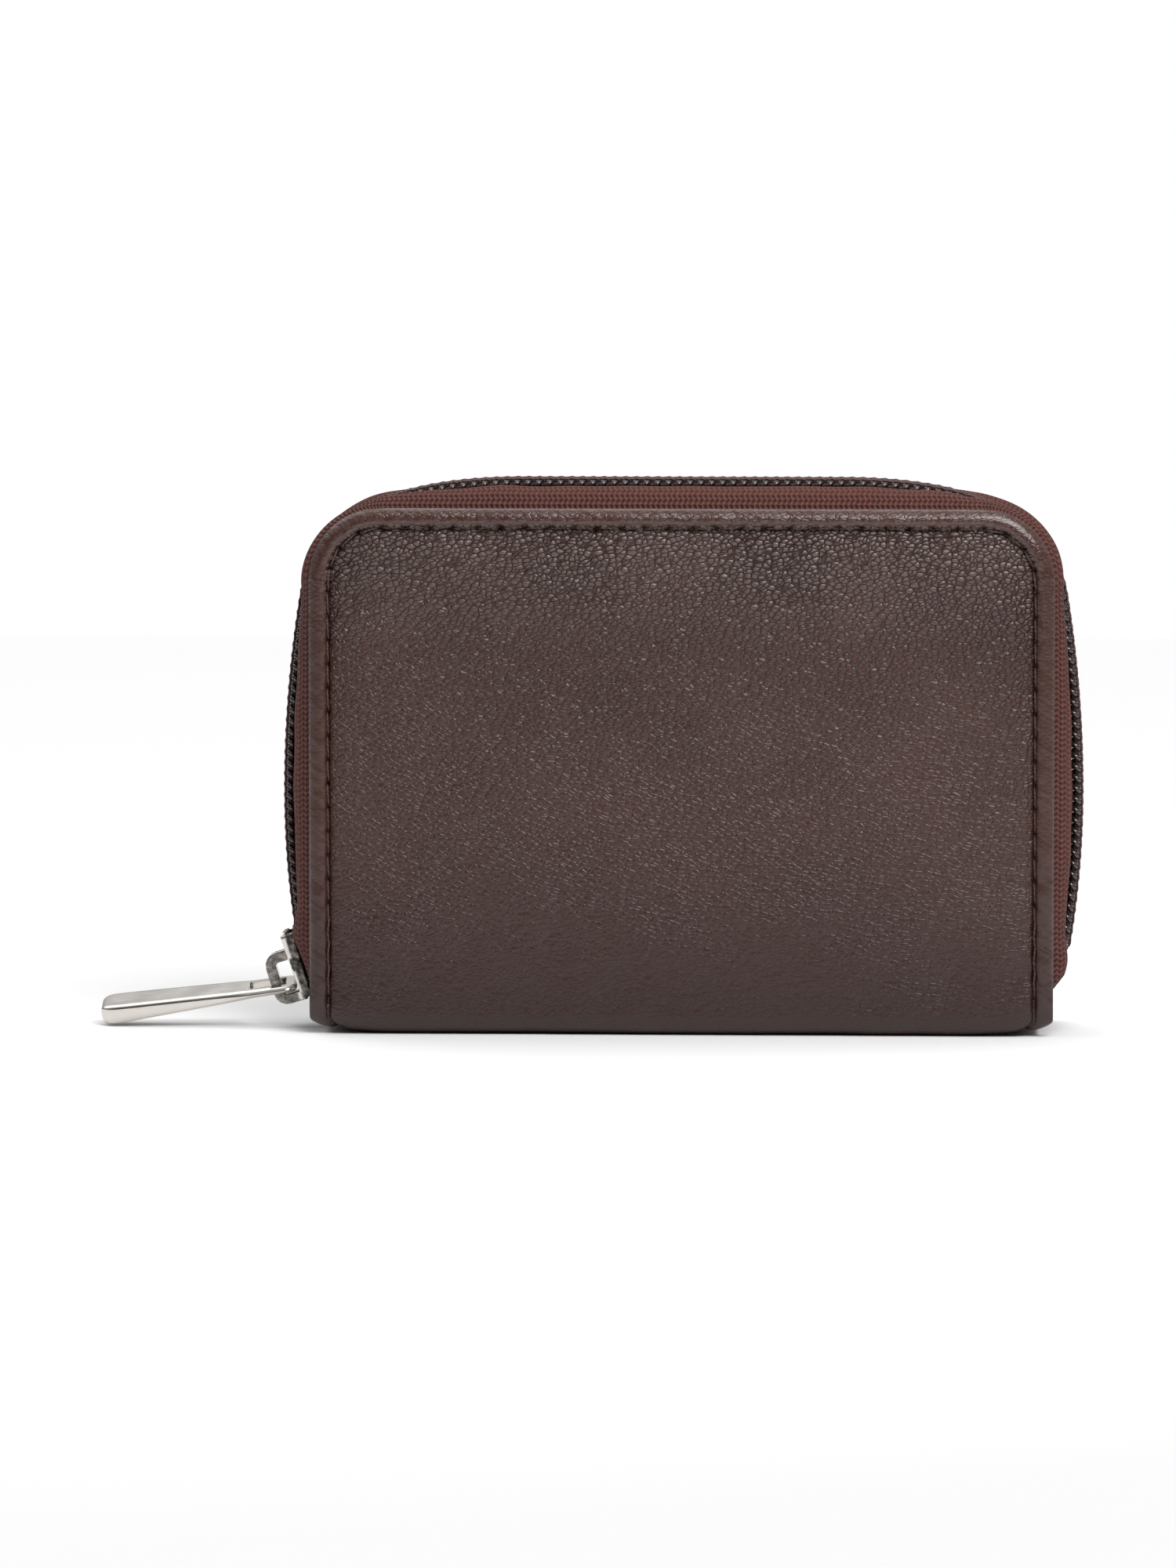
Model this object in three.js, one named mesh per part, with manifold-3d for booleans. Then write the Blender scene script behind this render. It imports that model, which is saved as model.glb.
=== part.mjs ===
// Zip-around leather card pouch that stands on its spine, in millimetres.
// X runs along the spine, -Y is the front cover, +Z is up. The origin is the centre of the
// spine's resting face. Two stiff covers turn on the spine's corners, a coil zipper joins
// their rims over the left side, the top and the right side, and a slider runs on it.

import * as THREE from "three";
import { mergeVertices } from "three/addons/utils/BufferGeometryUtils.js";
import Module from "manifold-3d";

const wasm = await Module();
wasm.setup();

// ---------------------------------------------------------------- driving dimensions
const HALF_WIDTH = 51.5; // leather panel, centre to side edge
const PANEL_TOP = 73;
const PANEL_CORNER_R = 10;
const HALF_DEPTH = 12; // centre to the cover's outer face
const SPINE_CORNER_R = 3; // leather bend from the spine up into each cover
const COVER_BOTTOM = SPINE_CORNER_R + 0.3;
const GAP = 0.15; // between layers that lie on each other

const LEATHER = 1.0;
const RIM_THICKNESS = 1.7; // turned edge of the leather
const RIM_WIDTH = 4.2;
const RIM_ROUND = 0.5;
const PADDING = 0.35;
const BOARD = 0.7;
const LINING = 0.5;
const POCKET = 0.6;
const STIFFENER_HALF_DEPTH = 7.5;
const STIFFENER_HALF_LENGTH = 48;
const SPINE_LINING_HALF_DEPTH = 8.2;
const SPINE_LINING_HALF_LENGTH = 49.5;
const BOARD_BOTTOM = 5.2;
const LINING_BOTTOM = 4.6;
const LINING_INSET = 1.0;

const SEAM_INSET = 2.6; // stitch line to the leather's edge
const SEAM_BOTTOM = 5.0;
const GROOVE_WIDTH = 0.7;
const GROOVE_DEPTH = 0.4;
const THREAD = 0.4;
const THREAD_HEIGHT = 0.25;

const CARD_POCKET_HALF_WIDTH = 46.5;
const SLIP_POCKET_TOP = 65;
const CARD_POCKET_TOPS = [57, 47, 37];
const POCKET_BOTTOM = 6;
const POCKET_MOUTH_DIP = 1.6; // the slip pocket's mouth dips in the middle

// The closed chain: its sides bow outward on large arcs, flatter above than below.
const CHAIN_SIDE = 54.7; // centre to the chain at the bow's crown
const CHAIN_TOP = 75.9;
const CHAIN_BOW_R = 130; // below the bow's crown
const CHAIN_BOW_TOP_R = 170; // and above it
const CHAIN_BOW_Z = 33; // height of the bow's centre and crown
const CHAIN_ARC_TOP = 60; // the arc ends and the top corner starts here
const CHAIN_CORNER_X = 22; // the top corner ends here
const CHAIN_CORNER_RISE = 0.35; // the corner curve's handles, as shares of its height
const CHAIN_CORNER_REACH = 0.88; // and of its width
const CHAIN_BOTTOM = 7;
const CHAIN_BOTTOM_RIGHT = 11.5;

const COIL_THICKNESS = 1.7;
const COIL_OUTER_Y = 3.0;
const COIL_INNER_Y = 0.75; // leaves the slider's post a way between the two rows
const COIL_GAP = 0.25; // between the rows and the tape under them
const TAPE_THICKNESS = 0.45;
const TAPE_BOTTOM = 6.5;
const TAPE_TOP_RIDGE = 2.0; // how far the tape arches over the top
const TAPE_SIDE_RIDGE = 1.4; // on the sides
const TAPE_CORNER_RIDGE = 2.0; // and at the top corners, where the chain runs further in
const TAPE_SEWN = 3.6; // margin sewn in under the leather's rim
const TAPE_LEAVE_INSET = 0.5; // the tape turns in from the rim here
const TAPE_COIL_MARGIN = 0.3; // and lies under the coil from here
const FRONT_TAPE_TRIM_Y = 4.7; // front tape is folded back beside the parked slider
const FRONT_TAPE_TRIM_Z = 15.0;
const FRONT_COIL_BOTTOM = 15.3;

const SLIDER_Z = 9.1; // parked slider's middle
const SLIDER_PLAY_TILT = 7; // degrees the slider leans in its play on the chain
const SLIDER_LENGTH = 9.9;
const SLIDER_WIDE = 3.95; // half widths of its plates
const SLIDER_NARROW = 3.3;
const SLIDER_CHANNEL_Y = 3.25;
const CHANNEL_OUT = 1.5; // outer plate's inner face, from the chain's middle
const CHANNEL_IN = -2.6; // inner plate's inner face
const TAPE_SLOT_TOP = 0.6;
const PLATE = 0.75;
const PLATE_WEDGE = 0.2; // the outer plate is this much thicker at its upper end
const POST_HALF_WIDTH = 0.45;

const BRIDGE_HALF_WIDTH = 1.2;
const BRIDGE_HEIGHT = 3.7; // over the outer plate
const BRIDGE_BAND = 1.5;
const BRIDGE_ROUND = 1.9;
const BRIDGE_LOW = -5.0; // along the slider, from its middle
const BRIDGE_HIGH = 2.5;
const BRIDGE_TIP_GAP = 0.25; // the hook's free tip stays clear of the plate

const PULL_PIVOT_S = -2.4; // the pull's bar inside the bridge, along the slider
const PULL_PIVOT_N = 1.3; // and over the outer plate
const PULL_LENGTH = 26.8;
const PULL_EYE_THICKNESS = 1.2;
const PULL_END_THICKNESS = 2.5;
const PULL_EYE_HALF_WIDTH = 2.9;
const PULL_END_HALF_WIDTH = 3.5;
const PULL_END_ROUND = 1.2;
const PULL_HOLE_HALF_WIDTH = 1.6;
const PULL_HOLE_START = 0.6;
const PULL_HOLE_END = 5.6;
const PULL_HOLE_CORNER = 0.6;
const PULL_FLOOR_GAP = 0.1;
const PULL_ROLL = 12; // degrees the pull leans to the front in its loose eye

const CORNER_STEPS = 7;
const CHAIN_CORNER_STEPS = 7;
const SIDE_STEPS = 7;
const TOP_STEPS = 4;

// ---------------------------------------------------------------- materials
const finish = (color, roughness, metalness = 0) =>
  new THREE.MeshStandardMaterial({ color, roughness, metalness });
const leatherFinish = finish(0x43302d, 0.48);
const liningFinish = finish(0x2f2220, 0.8);
const pocketFinish = finish(0x3d2a27, 0.55);
const boardFinish = finish(0x8b7355, 0.9);
const foamFinish = finish(0x4a4644, 0.95);
const threadFinish = finish(0x2c1d1a, 0.7);
const tapeFinish = finish(0x5c332f, 0.85);
const coilFinish = finish(0x1f1413, 0.3);
const nickelFinish = finish(0xc9c5bd, 0.22, 1);

// ---------------------------------------------------------------- general helpers
const root = new THREE.Group();
const groups = {};
for (const name of ["spine", "front_half", "back_half", "slider", "pull"]) {
  groups[name] = new THREE.Group();
  groups[name].name = `${name}_group`;
  root.add(groups[name]);
}

function addMesh(group, name, geometry, material) {
  const mesh = new THREE.Mesh(geometry, material);
  mesh.name = name;
  groups[group].add(mesh);
  return mesh;
}

// Closed solid through rings of the same number of points, capped at both ends.
function loft(rings) {
  const count = rings[0].length;
  const positions = rings.flat().flatMap((p) => [p.x, p.y, p.z]);
  const index = [];
  for (let r = 0; r < rings.length - 1; r++) {
    for (let i = 0; i < count; i++) {
      const j = (i + 1) % count;
      const [a, b] = [r * count + i, r * count + j];
      index.push(a, b, b + count, a, b + count, a + count);
    }
  }
  const last = rings.length - 1;
  index.push(...capTriangles(rings[0], 0).reverse());
  index.push(...capTriangles(rings[last], last * count));
  const geometry = new THREE.BufferGeometry();
  geometry.setAttribute("position", new THREE.Float32BufferAttribute(positions, 3));
  geometry.setIndex(index);
  return faceOutward(geometry);
}

// Triangles of a planar ring, projected on the plane in which it is widest.
function capTriangles(ring, offset) {
  const normal = new THREE.Vector3();
  ring.forEach((p, i) => normal.add(new THREE.Vector3().crossVectors(p, ring[(i + 1) % ring.length])));
  normal.normalize();
  const u = new THREE.Vector3().subVectors(ring[1], ring[0]).normalize();
  const v = new THREE.Vector3().crossVectors(normal, u);
  const flat = ring.map((p) => new THREE.Vector2(p.dot(u), p.dot(v)));
  return THREE.ShapeUtils.triangulateShape(flat, []).flatMap((t) => t.map((i) => i + offset));
}

// Turns a closed mesh the right way out by the sign of its volume.
function faceOutward(geometry) {
  const position = geometry.getAttribute("position");
  const index = geometry.getIndex();
  const corner = (i) => new THREE.Vector3().fromBufferAttribute(position, index.getX(i));
  let volume = 0;
  for (let i = 0; i < index.count; i += 3) {
    volume += corner(i).dot(new THREE.Vector3().crossVectors(corner(i + 1), corner(i + 2)));
  }
  if (volume < 0) {
    geometry.setIndex(Array.from(index.array).reverse());
  }
  return geometry;
}

function toSolid(geometry) {
  const bare = geometry.clone();
  bare.deleteAttribute("normal");
  bare.deleteAttribute("uv");
  const merged = mergeVertices(bare, 1e-4);
  const vertProperties = Float32Array.from(merged.getAttribute("position").array);
  const triVerts = Uint32Array.from(merged.getIndex().array);
  return new wasm.Manifold(new wasm.Mesh({ numProp: 3, vertProperties, triVerts }));
}

function toGeometry(solid) {
  const mesh = solid.getMesh();
  const geometry = new THREE.BufferGeometry();
  geometry.setAttribute("position", new THREE.BufferAttribute(mesh.vertProperties, 3));
  geometry.setIndex(new THREE.BufferAttribute(mesh.triVerts, 1));
  return geometry;
}

function boxSolid(x0, x1, y0, y1, z0, z1) {
  const geometry = new THREE.BoxGeometry(x1 - x0, y1 - y0, z1 - z0);
  geometry.translate((x0 + x1) / 2, (y0 + y1) / 2, (z0 + z1) / 2);
  return toSolid(geometry);
}

// A plan in (x, z) made as thick as y0 to y1.
function plateBetween(outline, y0, y1) {
  return loft([y0, y1].map((y) => outline.map((p) => new THREE.Vector3(p.x, y, p.y))));
}

// ---------------------------------------------------------------- outlines in (x, z)
// Panel outline, counter-clockwise from its lower left, drawn in by inset on the three free sides.
function panelOutline(inset, bottom = COVER_BOTTOM, top = PANEL_TOP) {
  const side = HALF_WIDTH - inset;
  const radius = Math.max(PANEL_CORNER_R - inset, 1.5);
  const high = top - inset;
  const points = [new THREE.Vector2(-side, bottom), new THREE.Vector2(side, bottom)];
  for (const sign of [1, -1]) {
    for (let i = 0; i <= CORNER_STEPS; i++) {
      const angle = ((sign > 0 ? i : CORNER_STEPS - i) / CORNER_STEPS) * (Math.PI / 2);
      const x = sign * (side - radius + radius * Math.cos(angle));
      points.push(new THREE.Vector2(x, high - radius + radius * Math.sin(angle)));
    }
  }
  return points;
}

// The seam's route up the right side, over the top and down the left side.
function seamRoute(offset) {
  const ring = panelOutline(SEAM_INSET + offset, SEAM_BOTTOM);
  return [...ring.slice(1), ring[0]];
}

// ---------------------------------------------------------------- the closed chain
const bowRadius = (z) => (z > CHAIN_BOW_Z ? CHAIN_BOW_TOP_R : CHAIN_BOW_R);
const bowLean = (z) => Math.asin((z - CHAIN_BOW_Z) / bowRadius(z));

function chainSideX(z) {
  const radius = bowRadius(z);
  return -(CHAIN_SIDE - radius + Math.sqrt(radius ** 2 - (z - CHAIN_BOW_Z) ** 2));
}

// Top corner of the chain's middle line, from its left side onto the level top.
function chainCorner() {
  const start = new THREE.Vector2(chainSideX(CHAIN_ARC_TOP), CHAIN_ARC_TOP);
  const end = new THREE.Vector2(-CHAIN_CORNER_X, CHAIN_TOP);
  const lean = bowLean(CHAIN_ARC_TOP);
  const rise = (end.y - start.y) * CHAIN_CORNER_RISE;
  const reach = (end.x - start.x) * CHAIN_CORNER_REACH;
  const first = new THREE.Vector2(start.x + rise * Math.sin(lean), start.y + rise * Math.cos(lean));
  const second = new THREE.Vector2(end.x - reach, end.y);
  return new THREE.CubicBezierCurve(start, first, second, end);
}

// Stations from a left end height over the top to a right end height. Each one pairs a point
// of the panel's edge with the chain's middle line and gives the outward direction of both.
function zipperStations(leftBottom, rightBottom, extraHeights = []) {
  const even = Array.from({ length: SIDE_STEPS }, (_, i) => (i + 1) / (SIDE_STEPS + 1));
  const shared = even.map((f) => CHAIN_BOTTOM + (CHAIN_ARC_TOP - CHAIN_BOTTOM) * f);
  const sideHeights = (bottom, extras) =>
    [bottom, ...shared.concat(extras).filter((z) => z > bottom + 1)].sort((a, b) => a - b);
  const left = sideHeights(leftBottom, extraHeights).map(sideStation);
  const right = sideHeights(rightBottom, []).map(sideStation).map(mirrored);
  const shares = (steps) => Array.from({ length: steps + 1 }, (_, i) => i / steps);
  const corner = shares(CHAIN_CORNER_STEPS).map(cornerStation);
  const top = shares(TOP_STEPS).slice(1, -1).map(topStation);
  return [...left, ...corner, ...top, ...corner.map(mirrored).reverse(), ...right.reverse()];
}

function sideStation(z) {
  const share = (z - CHAIN_BOTTOM) / (CHAIN_ARC_TOP - CHAIN_BOTTOM);
  const edgeZ = CHAIN_BOTTOM + share * (PANEL_TOP - PANEL_CORNER_R - CHAIN_BOTTOM);
  const lean = bowLean(z);
  return {
    edge: new THREE.Vector2(-HALF_WIDTH, edgeZ),
    edgeOut: new THREE.Vector2(-1, 0),
    chain: new THREE.Vector2(chainSideX(z), z),
    chainOut: new THREE.Vector2(-Math.cos(lean), Math.sin(lean)),
    ridge: TAPE_SIDE_RIDGE,
  };
}

function cornerStation(share) {
  const angle = (share * Math.PI) / 2;
  const edgeOut = new THREE.Vector2(-Math.cos(angle), Math.sin(angle));
  const centre = new THREE.Vector2(-HALF_WIDTH + PANEL_CORNER_R, PANEL_TOP - PANEL_CORNER_R);
  const tangent = chainCorner().getTangent(share);
  const level = THREE.MathUtils.lerp(TAPE_SIDE_RIDGE, TAPE_TOP_RIDGE, share);
  return {
    edge: edgeOut.clone().multiplyScalar(PANEL_CORNER_R).add(centre),
    edgeOut,
    chain: chainCorner().getPoint(share),
    chainOut: new THREE.Vector2(-tangent.y, tangent.x),
    ridge: level + (TAPE_CORNER_RIDGE - level) * Math.sin(share * Math.PI),
  };
}

function topStation(share) {
  const edgeReach = HALF_WIDTH - PANEL_CORNER_R;
  return {
    edge: new THREE.Vector2(-edgeReach + 2 * edgeReach * share, PANEL_TOP),
    edgeOut: new THREE.Vector2(0, 1),
    chain: new THREE.Vector2(-CHAIN_CORNER_X + 2 * CHAIN_CORNER_X * share, CHAIN_TOP),
    chainOut: new THREE.Vector2(0, 1),
    ridge: TAPE_TOP_RIDGE,
  };
}

function mirrored(station) {
  const flip = (v) => new THREE.Vector2(-v.x, v.y);
  const { edge, edgeOut, chain, chainOut, ridge } = station;
  const turned = { edge: flip(edge), edgeOut: flip(edgeOut), chain: flip(chain) };
  return { ...turned, chainOut: flip(chainOut), ridge };
}

// ---------------------------------------------------------------- spine
// U section with round corners, from one cover's foot to the other, extruded along X.
function spineSection(inset) {
  const radius = SPINE_CORNER_R - inset;
  const reach = HALF_DEPTH - SPINE_CORNER_R;
  const points = [];
  for (let i = 0; i <= CORNER_STEPS; i++) {
    const angle = (i / CORNER_STEPS) * (Math.PI / 2);
    points.push([-reach - radius * Math.cos(angle), SPINE_CORNER_R - radius * Math.sin(angle)]);
  }
  return [...points, ...points.map(([y, z]) => [-y, z]).reverse()];
}

function spineLeather() {
  const section = [...spineSection(0), ...spineSection(LEATHER).reverse()];
  const ends = [-HALF_WIDTH, HALF_WIDTH];
  return loft(ends.map((x) => section.map(([y, z]) => new THREE.Vector3(x, y, z))));
}

function spineStrip(halfDepth, z0, thickness, halfLength) {
  const geometry = new THREE.BoxGeometry(2 * halfLength, 2 * halfDepth, thickness);
  geometry.translate(0, 0, z0 + thickness / 2);
  return geometry;
}

const STIFFENER_Z = LEATHER + GAP;
const SPINE_LINING_Z = STIFFENER_Z + BOARD + GAP;

addMesh("spine", "spine_leather", spineLeather(), leatherFinish);
const stiffener = spineStrip(STIFFENER_HALF_DEPTH, STIFFENER_Z, BOARD, STIFFENER_HALF_LENGTH);
addMesh("spine", "spine_stiffener", stiffener, boardFinish);
const spineLining = spineStrip(
  SPINE_LINING_HALF_DEPTH, SPINE_LINING_Z, LINING, SPINE_LINING_HALF_LENGTH,
);
addMesh("spine", "spine_lining", spineLining, liningFinish);

// ---------------------------------------------------------------- covers
// Leather panel with a rounded, turned rim and a groove that the seam lies in.
function coverLeather() {
  const ring = (inset, depth) =>
    panelOutline(inset).map((p) => new THREE.Vector3(p.x, -HALF_DEPTH + depth, p.y));
  const rings = [
    ring(RIM_ROUND, 0),
    ring(RIM_ROUND * 0.3, RIM_ROUND * 0.3),
    ring(0, RIM_ROUND),
    ring(0, RIM_THICKNESS - RIM_ROUND * 0.5),
    ring(RIM_ROUND * 0.5, RIM_THICKNESS),
    ring(RIM_WIDTH, RIM_THICKNESS),
    ring(RIM_WIDTH + 0.2, LEATHER),
  ];
  const groove = seamBand(GROOVE_WIDTH, -HALF_DEPTH - 0.5, -HALF_DEPTH + GROOVE_DEPTH);
  return toGeometry(toSolid(loft(rings)).subtract(toSolid(groove)));
}

// Thread lying at the bottom of its groove.
function coverSeam() {
  const low = -HALF_DEPTH + GROOVE_DEPTH - GAP;
  return seamBand(THREAD, low - THREAD_HEIGHT, low);
}

function seamBand(width, y0, y1) {
  const outer = seamRoute(-width / 2);
  const inner = seamRoute(width / 2);
  const rings = outer.map((p, i) => [
    new THREE.Vector3(p.x, y0, p.y),
    new THREE.Vector3(p.x, y1, p.y),
    new THREE.Vector3(inner[i].x, y1, inner[i].y),
    new THREE.Vector3(inner[i].x, y0, inner[i].y),
  ]);
  return loft(rings);
}

function coverPlate(inset, bottom, depth, thickness) {
  const y0 = -HALF_DEPTH + depth;
  return plateBetween(panelOutline(inset, bottom), y0, y0 + thickness);
}

// Pocket panel sewn on three sides, open along its top edge.
function pocketPanel(top, dip, depth) {
  const half = CARD_POCKET_HALF_WIDTH;
  const points = [new THREE.Vector2(-half, POCKET_BOTTOM), new THREE.Vector2(half, POCKET_BOTTOM)];
  const mouthSteps = 8;
  for (let i = 0; i <= mouthSteps; i++) {
    const share = i / mouthSteps;
    const sag = dip * Math.sin(share * Math.PI) ** 2;
    points.push(new THREE.Vector2(half - 2 * half * share, top - sag));
  }
  const y0 = -HALF_DEPTH + depth;
  return plateBetween(points, y0, y0 + POCKET);
}

const PADDING_DEPTH = LEATHER + GAP;
const BOARD_DEPTH = PADDING_DEPTH + PADDING + GAP;
const TAPE_DEPTH = RIM_THICKNESS + GAP;
const LINING_DEPTH = TAPE_DEPTH + TAPE_THICKNESS + GAP;
const SLIP_POCKET_DEPTH = LINING_DEPTH + LINING + GAP;
const CARD_POCKET_DEPTH = SLIP_POCKET_DEPTH + POCKET + GAP;
const BOARD_INSET = RIM_WIDTH + 0.5;

// ---------------------------------------------------------------- zipper
// Middle line of the tape's section at one station, from its sewn margin to the chain.
function tapeMiddle(station, tapeEdgeY) {
  const sewnY = -HALF_DEPTH + TAPE_DEPTH + TAPE_THICKNESS / 2;
  const under = -(COIL_THICKNESS / 2 + COIL_GAP + TAPE_THICKNESS / 2);
  const leave = station.edge.clone().addScaledVector(station.edgeOut, -TAPE_LEAVE_INSET);
  const sewn = station.edge.clone().addScaledVector(station.edgeOut, -TAPE_SEWN);
  const arrive = station.chain.clone().addScaledVector(station.chainOut, under);
  const points = [
    { plan: sewn, y: sewnY },
    { plan: leave, y: sewnY },
  ];
  const coilSideY = -COIL_OUTER_Y - TAPE_COIL_MARGIN;
  for (const share of [0.16, 0.34, 0.52, 0.7, 0.86, 1]) {
    const y = sewnY + (tapeEdgeY - sewnY) * share;
    const across = THREE.MathUtils.clamp((y - sewnY) / (coilSideY - sewnY), 0, 1);
    const plan = leave.clone().lerp(arrive, across);
    plan.addScaledVector(station.edgeOut, station.ridge * Math.sin(Math.PI * across));
    points.push({ plan, y });
  }
  return points;
}

// Section ring of the tape: its middle line with half the thickness laid on each side.
function tapeRing(station, tapeEdgeY) {
  const middle = tapeMiddle(station, tapeEdgeY);
  const outer = [];
  const inner = [];
  middle.forEach((point, i) => {
    const before = middle[Math.max(i - 1, 0)];
    const after = middle[Math.min(i + 1, middle.length - 1)];
    const along = new THREE.Vector2().subVectors(after.plan, before.plan).dot(station.edgeOut);
    const dy = after.y - before.y;
    const length = Math.hypot(along, dy);
    for (const [side, list] of [[0.5, outer], [-0.5, inner]]) {
      const offset = side * TAPE_THICKNESS;
      const plan = point.plan.clone().addScaledVector(station.edgeOut, (offset * dy) / length);
      list.push(new THREE.Vector3(plan.x, point.y - (offset * along) / length, plan.y));
    }
  });
  return [...outer, ...inner.reverse()];
}

function zipperTape(trimmed) {
  const fullEdgeY = -COIL_INNER_Y;
  const extra = trimmed ? [FRONT_TAPE_TRIM_Z - 0.2, FRONT_TAPE_TRIM_Z + 0.1] : [];
  const stations = zipperStations(TAPE_BOTTOM, TAPE_BOTTOM, extra);
  return loft(stations.map((station) => {
    const parked = trimmed && station.chain.x < 0 && station.chain.y < FRONT_TAPE_TRIM_Z;
    return tapeRing(station, parked ? -FRONT_TAPE_TRIM_Y : fullEdgeY);
  }));
}

function zipperCoil(leftBottom) {
  const half = COIL_THICKNESS / 2;
  const rings = zipperStations(leftBottom, CHAIN_BOTTOM_RIGHT).map(({ chain, chainOut }) =>
    [[half, -COIL_OUTER_Y], [half, -COIL_INNER_Y], [-half, -COIL_INNER_Y], [-half, -COIL_OUTER_Y]].map(
      ([offset, y]) => {
        const plan = chain.clone().addScaledVector(chainOut, offset);
        return new THREE.Vector3(plan.x, y, plan.y);
      },
    ),
  );
  return loft(rings);
}

// ---------------------------------------------------------------- both halves
// Everything is drawn for the front half; the back half is the same turned to +Y.
function onBack(geometry) {
  const copy = geometry.clone();
  copy.scale(1, -1, 1);
  return faceOutward(copy);
}

function addHalf(half, place) {
  const body = `${half}_half`;
  const trimmed = half === "front";
  const padding = coverPlate(BOARD_INSET, BOARD_BOTTOM, PADDING_DEPTH, PADDING);
  const board = coverPlate(BOARD_INSET, BOARD_BOTTOM, BOARD_DEPTH, BOARD);
  const lining = coverPlate(LINING_INSET, LINING_BOTTOM, LINING_DEPTH, LINING);
  const slipPocket = pocketPanel(SLIP_POCKET_TOP, POCKET_MOUTH_DIP, SLIP_POCKET_DEPTH);
  const coil = zipperCoil(trimmed ? FRONT_COIL_BOTTOM : CHAIN_BOTTOM);
  const pieces = [
    [`${half}_cover_leather`, coverLeather(), leatherFinish],
    [`${half}_edge_stitching`, coverSeam(), threadFinish],
    [`${half}_padding`, padding, foamFinish],
    [`${half}_board`, board, boardFinish],
    [`${half}_lining`, lining, liningFinish],
    [`${half}_slip_pocket`, slipPocket, pocketFinish],
    [`zipper_tape_${half}`, zipperTape(trimmed), tapeFinish],
    [`zipper_coil_${half}`, coil, coilFinish],
  ];
  CARD_POCKET_TOPS.forEach((top, i) => {
    const depth = CARD_POCKET_DEPTH + i * (POCKET + GAP);
    pieces.push([`${half}_card_pocket_${i + 1}`, pocketPanel(top, 0, depth), pocketFinish]);
  });
  for (const [name, geometry, material] of pieces) {
    addMesh(body, name, place(geometry), material);
  }
}

addHalf("front", (geometry) => geometry);
addHalf("back", onBack);

// ---------------------------------------------------------------- slider
// The slider is drawn in its own frame: X is out from the chain, Y is across, Z is up the chain.
const parkedLean = -bowLean(SLIDER_Z);
const sliderTilt = parkedLean + THREE.MathUtils.degToRad(SLIDER_PLAY_TILT);
const HALF_LENGTH = SLIDER_LENGTH / 2;
const faceAt = (s) => CHANNEL_OUT + PLATE + (PLATE_WEDGE * s) / HALF_LENGTH;

// Outline in (across, along) of both plates: round shoulders below, narrow end above.
function sliderPlan() {
  const half = [
    [0, -HALF_LENGTH],
    [SLIDER_WIDE - 1.4, -HALF_LENGTH],
    [SLIDER_WIDE - 0.4, -HALF_LENGTH + 0.5],
    [SLIDER_WIDE, -HALF_LENGTH + 1.4],
    [SLIDER_WIDE, -0.6],
    [SLIDER_NARROW + 0.35, 1.2],
    [SLIDER_NARROW + 0.35, HALF_LENGTH - 0.6],
    [SLIDER_NARROW - 0.2, HALF_LENGTH],
  ];
  return [...half, ...half.slice(1).reverse().map(([y, s]) => [-y, s])];
}

function sliderBody() {
  const planRing = (n) => sliderPlan().map(([y, s]) => new THREE.Vector3(n, y, s));
  const block = toSolid(loft([planRing(CHANNEL_IN - PLATE), planRing(CHANNEL_OUT + PLATE + 1)]));
  const sideView = [
    [CHANNEL_IN - PLATE, -HALF_LENGTH + 0.7],
    [CHANNEL_IN - PLATE * 0.4, -HALF_LENGTH],
    [faceAt(-HALF_LENGTH) - 0.25, -HALF_LENGTH],
    [faceAt(-HALF_LENGTH), -HALF_LENGTH + 0.4],
    [faceAt(HALF_LENGTH), HALF_LENGTH - 0.4],
    [faceAt(HALF_LENGTH) - 0.3, HALF_LENGTH],
    [CHANNEL_IN - PLATE * 0.4, HALF_LENGTH],
    [CHANNEL_IN - PLATE, HALF_LENGTH - 0.7],
  ];
  const sideRing = (y) => sideView.map(([n, s]) => new THREE.Vector3(n, y, s));
  const profile = toSolid(loft([sideRing(-5), sideRing(5)]));
  const far = HALF_LENGTH + 1;
  const channel = boxSolid(CHANNEL_IN, CHANNEL_OUT, -SLIDER_CHANNEL_Y, SLIDER_CHANNEL_Y, -far, far);
  const tapeSlots = boxSolid(CHANNEL_IN, TAPE_SLOT_TOP, -6, 6, -far, far);
  const post = boxSolid(
    CHANNEL_IN - 0.2, CHANNEL_OUT + 0.2, -POST_HALF_WIDTH, POST_HALF_WIDTH, -HALF_LENGTH + 0.5, -2.4,
  );
  const body = block.intersect(profile).subtract(channel).subtract(tapeSlots).add(post);
  return toGeometry(body.add(bridge()));
}

// Hook over the outer plate that carries the pull: cast on at its lower end, free at its tip.
function bridge() {
  const base = CHANNEL_OUT + PLATE - 0.3;
  const crown = faceAt(0) + BRIDGE_HEIGHT;
  const archInside = (band) =>
    arch(BRIDGE_LOW + band, BRIDGE_HIGH - band, base, crown - band, BRIDGE_ROUND - band);
  const outer = archInside(0);
  const inner = archInside(BRIDGE_BAND);
  const points = [...outer, ...inner.reverse()];
  const tip = faceAt(BRIDGE_HIGH) + BRIDGE_TIP_GAP;
  const tipStart = BRIDGE_HIGH - BRIDGE_BAND - 0.1;
  const clearOfPlate = (n, s) => (s > tipStart ? Math.max(n, tip) : n);
  const ring = (y) => points.map(([n, s]) => new THREE.Vector3(clearOfPlate(n, s), y, s));
  return toSolid(loft([ring(-BRIDGE_HALF_WIDTH), ring(BRIDGE_HALF_WIDTH)]));
}

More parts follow.
